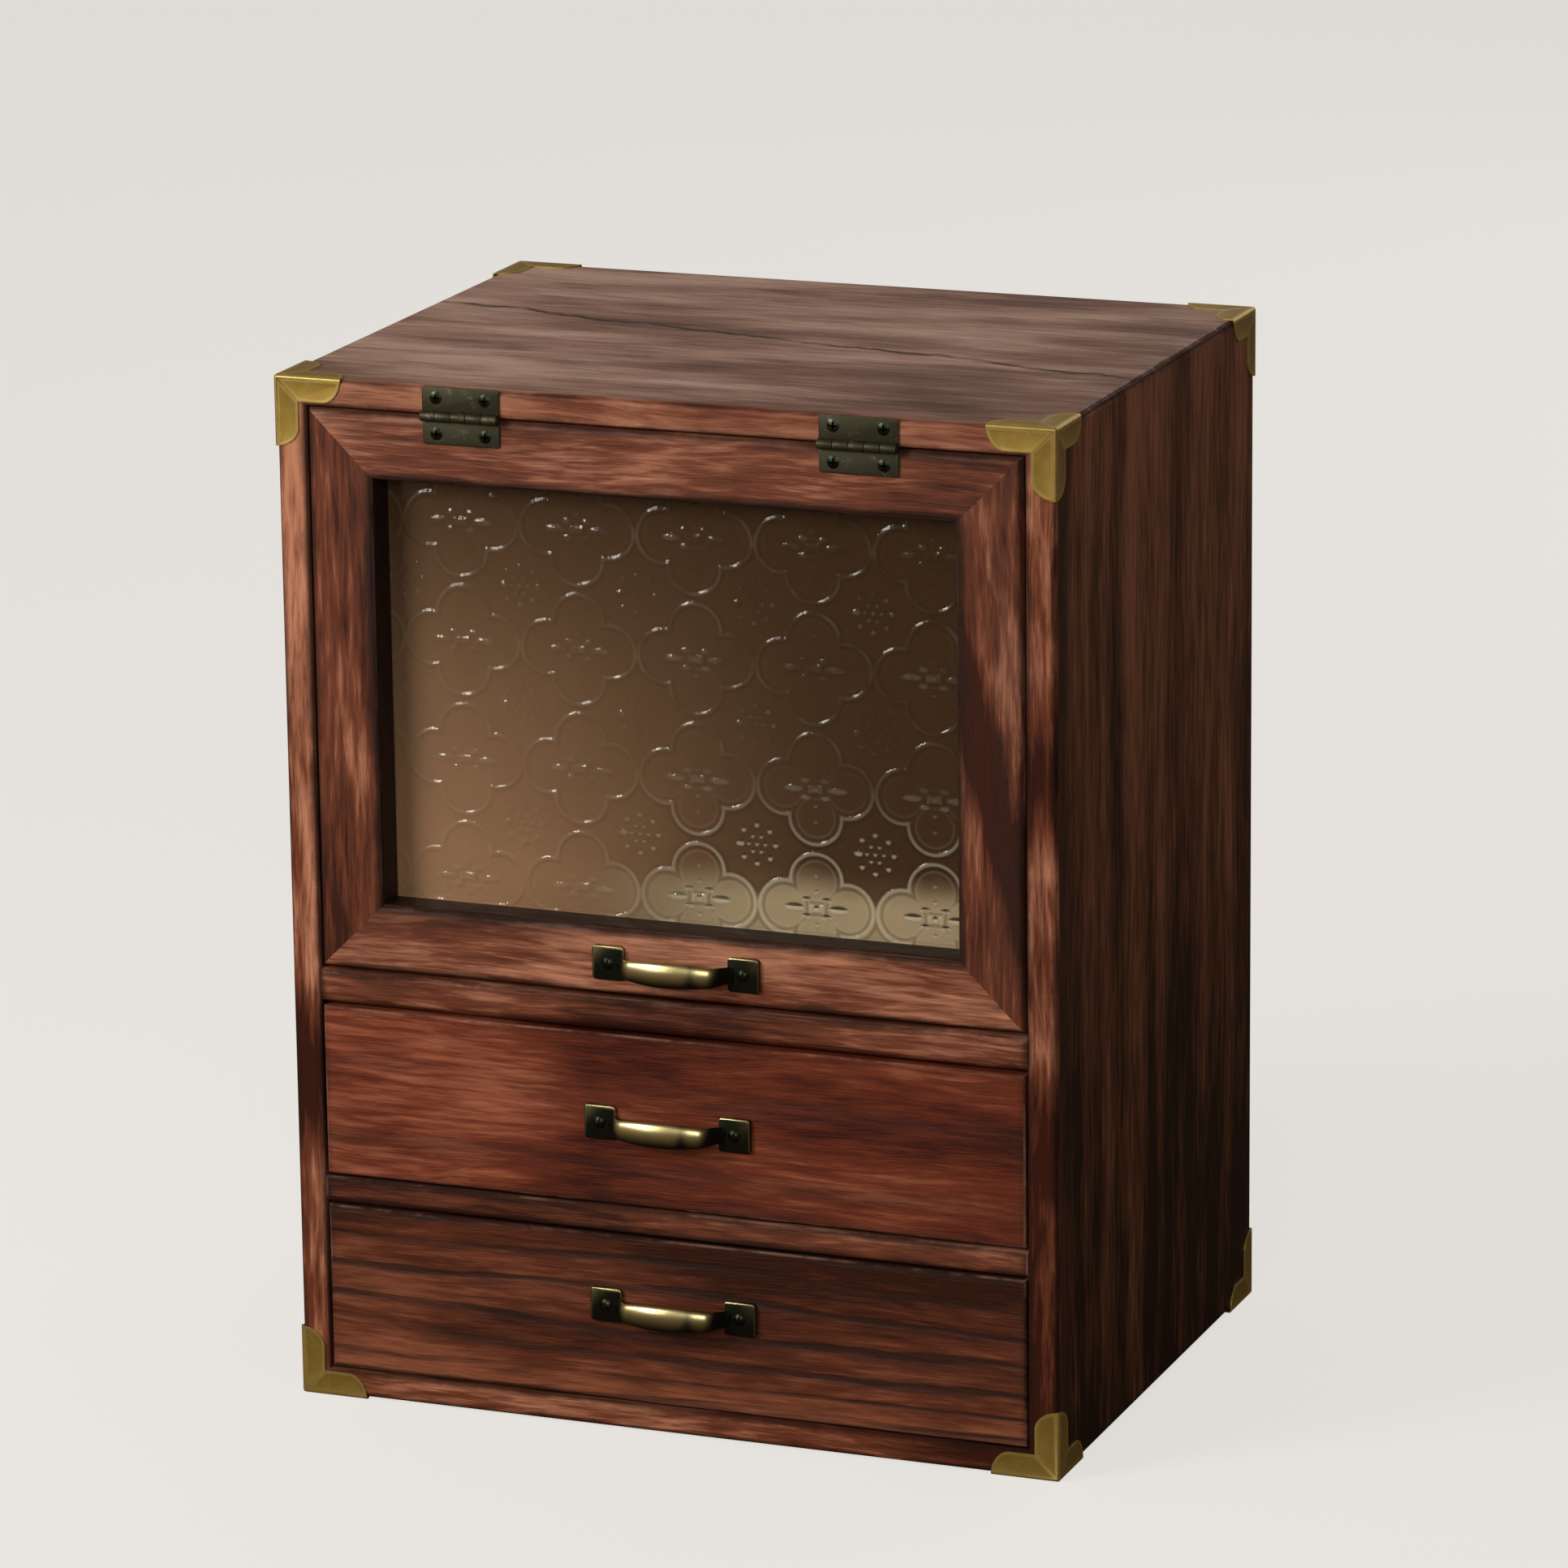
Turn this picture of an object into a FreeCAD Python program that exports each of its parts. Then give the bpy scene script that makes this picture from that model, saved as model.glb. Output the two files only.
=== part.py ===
"""Makeup organizer: a small wooden cabinet with a flip-up glass door and two drawers.

The cabinet stands on its lower corner guards. X runs to the right, Y to the back, Z up.
Everything is built with the front face in the plane Y = 0 and with X = 0 in the middle. At the
end each piece moves by front_y, so that the origin is at the centre of the box around the whole
organizer, on the surface it stands on.
"""
import FreeCAD, Part
import math
import os

Vector = FreeCAD.Vector

# How far a cutting tool reaches past the surface it cuts
overcut = 1.0

# Carcass
carcass_width = 289.0
carcass_depth = 219.0
carcass_height = 375.0
side_thickness = 11.0
top_thickness = 10.0
outer_long_edge_radius = 3.0
outer_face_edge_radius = 2.4
inner_edge_radius = 0.8
rebate_width = 5.0
rebate_depth = 4.0
back_panel_thickness = 3.5
back_panel_slack = 0.3

# Shelf and divider, given by the heights of their undersides
shelf_bottom = 147.8
shelf_thickness = 13.0
shelf_upper_radius = 2.0
shelf_lower_radius = 4.5
divider_bottom = 73.5
divider_thickness = 10.0
divider_upper_radius = 1.5
divider_lower_radius = 2.5
dowel_radius = 2.5
dowel_in_side = 6.0
dowel_in_board = 10.0
dowel_depths = (45.0, 170.0)

# Corner guards
guard_thickness = 0.5
guard_leg_length = 25.5
guard_leg_width = 9.2
guard_end_length = 7.0
guard_arris_radius = 1.1
guard_slab_depth = 1.3

# Door
door_reveal = 0.8
door_top_reveal = 0.5
door_bottom_reveal = 1.0
door_thickness = 16.0
door_frame_width = 24.5
door_outer_radius = 2.8
door_inner_radius = 2.2
door_back_chamfer = 0.8
glass_rebate_width = 5.0
glass_thickness = 3.0
glass_edge_slack = 0.5
glass_strip_width = 10.0
glass_strip_thickness = 2.5

# Door stop and catch
stop_strip_length = 120.0
stop_strip_depth = 7.0
stop_strip_height = 12.0
stop_strip_gap = 0.2
magnet_radius = 4.0
magnet_length = 4.0
catch_height_above_shelf = 6.5
strike_plate_thickness = 0.8
strike_screw_radius = 1.2
strike_screw_head_radius = 2.2
strike_screw_head_height = 0.7
strike_screw_length = 8.0
strike_screw_tip_length = 1.5

# Hinges
hinge_offset_x = 73.7
hinge_width = 29.0
hinge_leaf_height = 10.2
hinge_leaf_thickness = 0.8
hinge_leaf_corner_radius = 1.0
hinge_barrel_radius = 1.9
hinge_pin_radius = 0.8
hinge_pin_clearance = 0.05
hinge_knuckles = 5
hinge_knuckle_gap = 0.15
hinge_knuckle_room = 0.3
hinge_screw_offset_x = 9.2
hinge_screw_offset_z = 6.4
hinge_screw_head_height = 0.5
hinge_screw_countersink = 1.2

# Handles
handle_screw_spacing = 51.0
handle_foot_width = 12.0
handle_foot_height = 12.5
handle_foot_thickness = 1.6
handle_foot_corner_radius = 1.4
handle_foot_chamfer = 0.4
handle_bar_half_length = 21.5
handle_shoulder_run = 6.5
handle_bar_base = 1.3
handle_shoulder_rise = 5.2
handle_crown = 3.5
handle_end_half_height = 2.7
handle_swell = 1.9
handle_end_half_thickness = 1.2
handle_middle_half_thickness = 2.0
handle_stations = 18
handle_hole_radius = 1.4
door_handle_x = 3.7
door_handle_rise = -0.6
upper_handle_x = -0.5
upper_handle_rise = -1.0
lower_handle_x = 0.6
lower_handle_rise = 4.9

# Screws with a domed, cross-slotted head
screw_shank_radius = 1.1
screw_length = 8.0
screw_tip_length = 1.8
screw_head_radius = 2.3
handle_screw_head_height = 1.0
screw_slot_width = 0.6
screw_slot_length = 2.8
screw_slot_depth = 0.5

# Drawers
drawer_reveal = 0.8
drawer_front_thickness = 10.0
drawer_front_radius = 1.2
drawer_lap = 5.0
drawer_side_thickness = 7.0
drawer_side_play = 1.5
drawer_lift = 0.2
drawer_box_height = 54.0
drawer_bottom_thickness = 3.0
drawer_bottom_height = 4.0
drawer_groove_depth = 3.0
drawer_bottom_slack = 0.2
drawer_end_gap = 0.3

# Nails and brads
nail_radius = 0.6
nail_head_radius = 1.4
nail_head_height = 0.4
blunt_tip_radius = 0.2
back_nail_length = 13.0
back_nail_inset = 2.5
back_nail_heights = (0.16, 0.39, 0.61, 0.84)
back_nail_spread = (-0.6, 0.0, 0.6)
drawer_nail_length = 15.0
drawer_nail_above_bottom = 8.0
drawer_nail_below_top = 9.0
brad_radius = 0.45
brad_head_radius = 0.8
brad_head_height = 0.3
brad_length = 9.0
brad_spread_x = (-0.75, 0.0, 0.75)
brad_spread_z = 0.3

# Places that follow from the sizes above
base_z = guard_thickness
top_z = base_z + carcass_height
half_width = carcass_width / 2.0
inner_half_width = half_width - side_thickness
opening_bottom = base_z + top_thickness
opening_top = top_z - top_thickness
back_panel_front = carcass_depth - rebate_depth
shelf_top = shelf_bottom + shelf_thickness
divider_top = divider_bottom + divider_thickness
door_half_width = inner_half_width - door_reveal
door_bottom = shelf_top + door_bottom_reveal
door_top = opening_top - door_top_reveal
glass_half_width = door_half_width - door_frame_width
glass_opening_bottom = door_bottom + door_frame_width
glass_opening_top = door_top - door_frame_width
hinge_axis_z = (opening_top + door_top) / 2.0
hinge_axis_y = -hinge_barrel_radius
handle_projection = (
    handle_bar_base + handle_shoulder_rise + handle_crown + handle_middle_half_thickness
)
front_y = (handle_projection - carcass_depth - guard_thickness) / 2.0


def box(x0, x1, y0, y1, z0, z1):
    """A box between two opposite corners."""
    return Part.makeBox(x1 - x0, y1 - y0, z1 - z0, Vector(x0, y0, z0))


def edges_where(shape, keep):
    """The edges whose two end points both satisfy a test."""
    return [e for e in shape.Edges if all(keep(v.Point) for v in e.Vertexes)]


def close(a, b):
    """True where two lengths are the same."""
    return abs(a - b) < 1e-4


def prism_along_y(points, y0, y1):
    """A straight prism over a polygon in the XZ plane."""
    corners = [Vector(x, y0, z) for x, z in points]
    face = Part.Face(Part.makePolygon(corners + corners[:1]))
    return face.extrude(Vector(0, y1 - y0, 0))


def mitre_wedges(outer_half, inner_half, outer_z, inner_z, y0, y1):
    """Four prisms that part a rectangular frame along its mitres.

    outer_z and inner_z hold the lower and the upper height of the frame's two rectangles.
    """
    run_x = outer_half - inner_half
    run_low = inner_z[0] - outer_z[0]
    run_high = outer_z[1] - inner_z[1]
    far = {
        "bottom_left": (-outer_half - run_x, outer_z[0] - run_low),
        "bottom_right": (outer_half + run_x, outer_z[0] - run_low),
        "top_left": (-outer_half - run_x, outer_z[1] + run_high),
        "top_right": (outer_half + run_x, outer_z[1] + run_high),
    }
    near = {
        "bottom_left": (-inner_half, inner_z[0]),
        "bottom_right": (inner_half, inner_z[0]),
        "top_left": (-inner_half, inner_z[1]),
        "top_right": (inner_half, inner_z[1]),
    }
    sides = {
        "top": ("top_left", "top_right"),
        "bottom": ("bottom_left", "bottom_right"),
        "left": ("bottom_left", "top_left"),
        "right": ("bottom_right", "top_right"),
    }
    return {
        side: prism_along_y([near[a], near[b], far[b], far[a]], y0, y1)
        for side, (a, b) in sides.items()
    }


def cylinder_y(radius, y0, y1, x, z):
    """A cylinder along Y."""
    return Part.makeCylinder(radius, y1 - y0, Vector(x, y0, z), Vector(0, 1, 0))


def cylinder_x(radius, x0, x1, y, z):
    """A cylinder along X."""
    return Part.makeCylinder(radius, x1 - x0, Vector(x0, y, z), Vector(1, 0, 0))


def turned(profile):
    """A solid of revolution about Z from a closed outline of (radius, height) points."""
    corners = [Vector(r, 0, h) for r, h in profile]
    face = Part.Face(Part.makePolygon(corners + corners[:1]))
    return face.revolve(Vector(0, 0, 0), Vector(0, 0, 1), 360)


def pointed_shank(radius, length, tip_length):
    """A shank along +Z from the origin that ends in a blunt point."""
    tip = blunt_tip_radius
    return turned([(0, 0), (radius, 0), (radius, length - tip_length), (tip, length), (0, length)])


def aim(shape, x, y, z, direction):
    """Turn a shape from +Z to a direction and put its origin at a place."""
    turn = FreeCAD.Rotation(Vector(0, 0, 1), Vector(*direction))
    moved = shape.copy()
    moved.Placement = FreeCAD.Placement(Vector(x, y, z), turn)
    return moved


def domed_screw(rise, countersink):
    """A screw along +Z with a cross slot in its domed head.

    The dome stands rise below the origin, and a cone of the depth countersink leads to the shank.
    """
    sphere_radius = (screw_head_radius ** 2 + rise ** 2) / (2.0 * rise)
    sphere = Part.makeSphere(sphere_radius, Vector(0, 0, sphere_radius - rise))
    head = sphere.common(Part.makeCylinder(screw_head_radius, rise, Vector(0, 0, -rise)))
    for along, across in ((screw_slot_length, screw_slot_width), (screw_slot_width, screw_slot_length)):
        slot = box(-along / 2, along / 2, -across / 2, across / 2, -rise, -rise + screw_slot_depth)
        head = head.cut(slot)
    shank = pointed_shank(screw_shank_radius, screw_length, screw_tip_length)
    if countersink > 0:
        shank = shank.fuse(Part.makeCone(screw_head_radius, screw_shank_radius, countersink))
    return head.fuse(shank).removeSplitter()


def nail(radius, head_radius, head_height, length):
    """A round nail along +Z with its head's upper side at the origin."""
    head = Part.makeCylinder(head_radius, head_height)
    shank = pointed_shank(radius, length, 2.0 * radius)
    return head.fuse(shank).removeSplitter()


def rounded_case(grow, long_edge_radius, face_edge_radius):
    """A block round the carcass, larger by grow on each side, with rounded edges."""
    y0 = -grow
    y1 = carcass_depth + grow
    block = box(-half_width - grow, half_width + grow, y0, y1, base_z - grow, top_z + grow)
    long_edges = [e for e in block.Edges if not close(e.Vertexes[0].Y, e.Vertexes[1].Y)]
    block = block.makeFillet(long_edge_radius, long_edges)
    for y in (y0, y1):
        outline = [e for e in block.Edges if all(close(v.Y, y) for v in e.Vertexes)]
        block = block.makeFillet(face_edge_radius, outline)
    return block


def carcass():
    """The four mitred boards of the carcass, with the rebate for the back panel."""
    outer = rounded_case(0.0, outer_long_edge_radius, outer_face_edge_radius)
    y0 = -overcut
    y1 = carcass_depth + overcut
    void = box(-inner_half_width, inner_half_width, y0, y1, opening_bottom, opening_top)
    rebate = box(
        -inner_half_width - rebate_width, inner_half_width + rebate_width, back_panel_front, y1,
        opening_bottom - rebate_width, opening_top + rebate_width,
    )
    tube = outer.cut(void).cut(rebate)

    def on_front_rim(p):
        inside = abs(p.x) < inner_half_width + 1e-4 and opening_bottom - 1e-4 < p.z < opening_top + 1e-4
        return close(p.y, 0.0) and inside

    wedges = mitre_wedges(
        half_width, inner_half_width, (base_z, top_z), (opening_bottom, opening_top), y0, y1)
    names = {
        "top": "top_panel", "bottom": "bottom_panel",
        "left": "left_side_panel", "right": "right_side_panel",
    }
    boards = {}
    for side, name in names.items():
        board = tube.common(wedges[side])
        boards[name] = board.makeFillet(inner_edge_radius, edges_where(board, on_front_rim))
    return boards


def cross_board(bottom, thickness, upper_radius, lower_radius):
    """A board between the sides with a rounded front edge."""
    board = box(
        -inner_half_width, inner_half_width, 0, back_panel_front, bottom, bottom + thickness,
    )
    upper = edges_where(board, lambda p: close(p.y, 0) and close(p.z, bottom + thickness))
    board = board.makeFillet(upper_radius, upper)
    lower = edges_where(board, lambda p: close(p.y, 0) and close(p.z, bottom))
    return board.makeFillet(lower_radius, lower)


def dowels(z):
    """Four dowels between a cross board and the sides."""
    pins = []
    for side in (-1, 1):
        in_side = side * (inner_half_width + dowel_in_side)
        in_board = side * (inner_half_width - dowel_in_board)
        ends = sorted((in_side, in_board))
        for y in dowel_depths:
            pins.append(cylinder_x(dowel_radius, ends[0], ends[1], y, z))
    return pins


def back_panel():
    """The thin panel that closes the back."""
    reach = rebate_width - back_panel_slack
    return box(
        -inner_half_width - reach, inner_half_width + reach,
        back_panel_front, back_panel_front + back_panel_thickness,
        opening_bottom - reach, opening_top + reach,
    )


def back_nails():
    """The nails of the back panel, driven forwards into the rebate."""
    pin = nail(nail_radius, nail_head_radius, nail_head_height, back_nail_length)
    rear = back_panel_front + back_panel_thickness + nail_head_height
    x = inner_half_width + back_nail_inset
    heights = [opening_bottom + f * (opening_top - opening_bottom) for f in back_nail_heights]
    places = [(side * x, z) for side in (-1, 1) for z in heights]
    for z in (opening_bottom - back_nail_inset, opening_top + back_nail_inset):
        places += [(f * inner_half_width, z) for f in back_nail_spread]
    return [aim(pin, px, rear, pz, (0, -1, 0)) for px, pz in places]


def guard_outline(sign_u, sign_v):
    """The L that a guard covers on one face, its corner at (0, 0).

    Each leg's inner end corner is a quarter ellipse.
    """
    length, width, end = guard_leg_length, guard_leg_width, guard_end_length

    def point(u, v):
        return Vector(sign_u * u, sign_v * v, 0)

    def quarter(straight, tip, centre):
        return Part.ArcOfEllipse(Part.Ellipse(straight, tip, centre), 0, math.pi / 2).toShape()

    u_tip, u_start = point(length, 0), point(length - end, width)
    v_tip, v_start = point(0, length), point(width, length - end)
    edges = [
        Part.LineSegment(point(0, 0), u_tip).toShape(),
        quarter(u_start, u_tip, point(length - end, 0)),
        Part.LineSegment(u_start, point(width, width)).toShape(),
        Part.LineSegment(point(width, width), v_start).toShape(),
        quarter(v_start, v_tip, point(0, length - end)),
        Part.LineSegment(v_tip, point(0, 0)).toShape(),
    ]
    return Part.Wire(Part.__sortEdges__(edges))


def guard_slab(corner, side, rear, upper, face):
    """A flat slab of a guard's outline, laid on one of the three faces at a corner."""
    inward = {"x": -side, "y": -rear, "z": -upper}
    axes = {"front": ("x", "z", "y"), "top": ("x", "y", "z"), "flank": ("y", "z", "x")}[face]
    unit = {"x": Vector(1, 0, 0), "y": Vector(0, 1, 0), "z": Vector(0, 0, 1)}
    flat = Part.Face(guard_outline(inward[axes[0]], inward[axes[1]]))
    u, v = unit[axes[0]], unit[axes[1]]
    w = u.cross(v)
    place = FreeCAD.Matrix(
        u.x, v.x, w.x, corner.x,
        u.y, v.y, w.y, corner.y,
        u.z, v.z, w.z, corner.z,
        0, 0, 0, 1,
    )
    laid = flat.transformGeometry(place)
    return laid.extrude(unit[axes[2]] * (inward[axes[2]] * guard_slab_depth))


def corner_guards():
    """The eight three-sided guards, cut from a thin shell whose edges are crisper than the wood's."""
    t = guard_thickness
    radius = guard_arris_radius
    shell = rounded_case(t, radius, radius).cut(rounded_case(0.0, radius - t, radius - t))
    guards = {}
    for rear, depth_name in ((-1, "front"), (1, "back")):
        for upper, height_name in ((1, "top"), (-1, "bottom")):
            for side, side_name in ((-1, "left"), (1, "right")):
                corner = Vector(
                    side * (half_width + t),
                    carcass_depth + t if rear > 0 else -t,
                    top_z + t if upper > 0 else base_z - t,
                )
                slabs = [guard_slab(corner, side, rear, upper, f) for f in ("front", "top", "flank")]
                cover = slabs[0].fuse(slabs[1:])
                name = f"corner_guard_{depth_name}_{height_name}_{side_name}"
                guards[name] = shell.common(cover).removeSplitter()
    return guards


def door_frame():
    """The door's four mitred members, rebated at the back for the glass."""
    frame = box(-door_half_width, door_half_width, 0, door_thickness, door_bottom, door_top)
    outer_front = edges_where(frame, lambda p: close(p.y, 0))
    frame = frame.makeFillet(door_outer_radius, outer_front)
    outer_back = edges_where(frame, lambda p: close(p.y, door_thickness))
    frame = frame.makeChamfer(door_back_chamfer, outer_back)
    y0 = -overcut
    y1 = door_thickness + overcut
    window = box(-glass_half_width, glass_half_width, y0, y1, glass_opening_bottom, glass_opening_top)
    frame = frame.cut(window)

    def on_window_rim(p):
        in_width = abs(p.x) < glass_half_width + 1e-4
        in_height = glass_opening_bottom - 1e-4 < p.z < glass_opening_top + 1e-4
        return close(p.y, 0) and in_width and in_height

    frame = frame.makeFillet(door_inner_radius, edges_where(frame, on_window_rim))
    reach = glass_rebate_width
    frame = frame.cut(box(
        -glass_half_width - reach, glass_half_width + reach,
        door_thickness - glass_thickness, y1,
        glass_opening_bottom - reach, glass_opening_top + reach,
    ))
    wedges = mitre_wedges(
        door_half_width, glass_half_width,
        (door_bottom, door_top), (glass_opening_bottom, glass_opening_top), y0, y1,
    )
    return {
        "door_top_rail": frame.common(wedges["top"]),
        "door_bottom_rail": frame.common(wedges["bottom"]),
        "door_left_stile": frame.common(wedges["left"]),
        "door_right_stile": frame.common(wedges["right"]),
    }


def glass_pane():
    """The pane, flush with the back of the door frame."""
    reach = glass_rebate_width - glass_edge_slack
    return box(
        -glass_half_width - reach, glass_half_width + reach,
        door_thickness - glass_thickness, door_thickness,
        glass_opening_bottom - reach, glass_opening_top + reach,
    )


def glass_strips():
    """Four thin strips on the back of the frame that hold the pane in."""
    y0 = door_thickness
    y1 = door_thickness + glass_strip_thickness
    wide = glass_half_width + glass_strip_width
    low, high = glass_opening_bottom, glass_opening_top
    return {
        "glass_strip_top": box(-wide, wide, y0, y1, high, high + glass_strip_width),
        "glass_strip_bottom": box(-wide, wide, y0, y1, low - glass_strip_width, low),
        "glass_strip_left": box(-wide, -glass_half_width, y0, y1, low, high),
        "glass_strip_right": box(glass_half_width, wide, y0, y1, low, high),
    }


def glass_brads():
    """Brads through the strips into the frame, outside the pane."""
    pin = nail(brad_radius, brad_head_radius, brad_head_height, brad_length)
    rear = door_thickness + glass_strip_thickness + brad_head_height
    inset = glass_rebate_width + (glass_strip_width - glass_rebate_width) / 2.0
    x_side = glass_half_width + inset
    z_low = glass_opening_bottom - inset
    z_high = glass_opening_top + inset
    middle = (z_low + z_high) / 2.0
    spread = brad_spread_z * (z_high - z_low)
    places = [(side * x_side, middle + s * spread) for side in (-1, 1) for s in (-1, 1)]
    for z in (z_low, z_high):
        places += [(f * glass_half_width, z) for f in brad_spread_x]
    return [aim(pin, x, rear, z, (0, -1, 0)) for x, z in places]


def hinge_leaf(centre_x, upward):
    """One leaf of a hinge with its share of the knuckles.

    The upper leaf has the outer and the middle knuckle, the lower one those between.
    """
    half = hinge_width / 2.0
    r = hinge_barrel_radius
    if upward:
        z0, z1 = hinge_axis_z, hinge_axis_z + hinge_leaf_height
        bore = hinge_pin_radius
    else:
        z0, z1 = hinge_axis_z - hinge_leaf_height, hinge_axis_z
        bore = hinge_pin_radius + hinge_pin_clearance
    plate = box(centre_x - half, centre_x + half, -hinge_leaf_thickness, 0, z0, z1)
    far_z = z1 if upward else z0
    corners = [
        e for e in plate.Edges
        if all(close(v.Z, far_z) for v in e.Vertexes) and close(e.Vertexes[0].X, e.Vertexes[1].X)
    ]
    plate = plate.makeFillet(hinge_leaf_corner_radius, corners)
    step = hinge_width / hinge_knuckles
    for i in range(hinge_knuckles):
        start = centre_x - half + i * step
        mine = (i % 2 == 0) == upward
        if mine:
            plate = plate.fuse(cylinder_x(r, start, start + step, hinge_axis_y, hinge_axis_z))
        else:
            gap = hinge_knuckle_gap
            room = r + hinge_knuckle_room
            plate = plate.cut(cylinder_x(
                room, start - gap, start + step + gap, hinge_axis_y, hinge_axis_z))
    plate = plate.cut(cylinder_x(
        bore, centre_x - half - overcut, centre_x + half + overcut, hinge_axis_y, hinge_axis_z))
    return plate.removeSplitter()


def hinge_pin(centre_x):
    """The pin of one hinge."""
    half = hinge_width / 2.0
    return cylinder_x(hinge_pin_radius, centre_x - half, centre_x + half, hinge_axis_y, hinge_axis_z)


def hinge_screw_places(upward):
    """Where the screws of both hinges' upper or lower leaves stand."""
    z = hinge_axis_z + (hinge_screw_offset_z if upward else -hinge_screw_offset_z)
    return [
        (centre + side * hinge_screw_offset_x, z)
        for centre in (-hinge_offset_x, hinge_offset_x) for side in (-1, 1)
    ]


def handle_path(x):
    """How far the middle of the bar stands off the face at a distance from its middle."""
    u = min(1.0, (handle_bar_half_length - abs(x)) / handle_shoulder_run)
    shoulder = handle_shoulder_rise * u * u * (3.0 - 2.0 * u)
    crown = handle_crown * (1.0 - (x / handle_bar_half_length) ** 2)
    return handle_bar_base + shoulder + crown


def handle_bar():
    """The bowed bar, a loft through ellipses square to its path."""
    sections = []
    for i in range(handle_stations + 1):
        x = handle_bar_half_length * math.sin(math.pi * (i / handle_stations - 0.5))
        out = handle_path(x)
        step = 0.01
        slope = (handle_path(x + step) - handle_path(x - step)) / (2.0 * step)
        if i == 0 or i == handle_stations:
            slope = 0.0
        fullness = 1.0 - (x / handle_bar_half_length) ** 2
        half_height = handle_end_half_height + handle_swell * fullness
        half_thickness = handle_end_half_thickness + fullness * (
            handle_middle_half_thickness - handle_end_half_thickness)
        rim = Part.Ellipse(Vector(0, 0, 0), half_height, half_thickness).toShape()
        wire = Part.Wire([rim])
        tilt = math.degrees(math.atan(slope))
        frame = FreeCAD.Placement(Vector(x, -out, 0), FreeCAD.Rotation(Vector(0, 0, 1), -tilt))
        stand = FreeCAD.Placement(Vector(0, 0, 0), FreeCAD.Rotation(Vector(0, 1, 0), -90))
        wire.Placement = frame.multiply(stand)
        sections.append(wire)
    return Part.makeLoft(sections, True, False)


def bow_handle(x, z):
    """A cast bow handle: two square feet joined by a bowed bar."""
    handle = handle_bar()
    for side in (-1, 1):
        middle = side * handle_screw_spacing / 2.0
        foot = box(
            middle - handle_foot_width / 2, middle + handle_foot_width / 2,
            -handle_foot_thickness, 0,
            -handle_foot_height / 2, handle_foot_height / 2,
        )
        upright = [e for e in foot.Edges if close(e.Vertexes[0].X, e.Vertexes[1].X)
                   and close(e.Vertexes[0].Z, e.Vertexes[1].Z)]
        foot = foot.makeFillet(handle_foot_corner_radius, upright)
        rim = edges_where(foot, lambda p: close(p.y, -handle_foot_thickness))
        foot = foot.makeChamfer(handle_foot_chamfer, rim)
        handle = handle.fuse(foot)
    for side in (-1, 1):
        hole_x = side * handle_screw_spacing / 2.0
        handle = handle.cut(cylinder_y(
            handle_hole_radius, -handle_foot_thickness - overcut, overcut, hole_x, 0))
    reach = handle_screw_spacing
    in_front = box(-reach, reach, -reach, 0, -reach, reach)
    handle = handle.common(in_front).removeSplitter()
    handle.translate(Vector(x, 0, z))
    return handle


def handle_screw_places(x, z):
    """Where the two screws of a handle stand."""
    return [(x - handle_screw_spacing / 2.0, z), (x + handle_screw_spacing / 2.0, z)]


def screws_on(places, seat, rise, countersink=0.0):
    """Domed screws driven backwards, with their heads on a seat in front of the face."""
    return [aim(domed_screw(rise, countersink), x, -seat, z, (0, 1, 0)) for x, z in places]


def handle_screws(x, z):
    """The two screws of a handle."""
    return screws_on(handle_screw_places(x, z), handle_foot_thickness, handle_screw_head_height)


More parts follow.
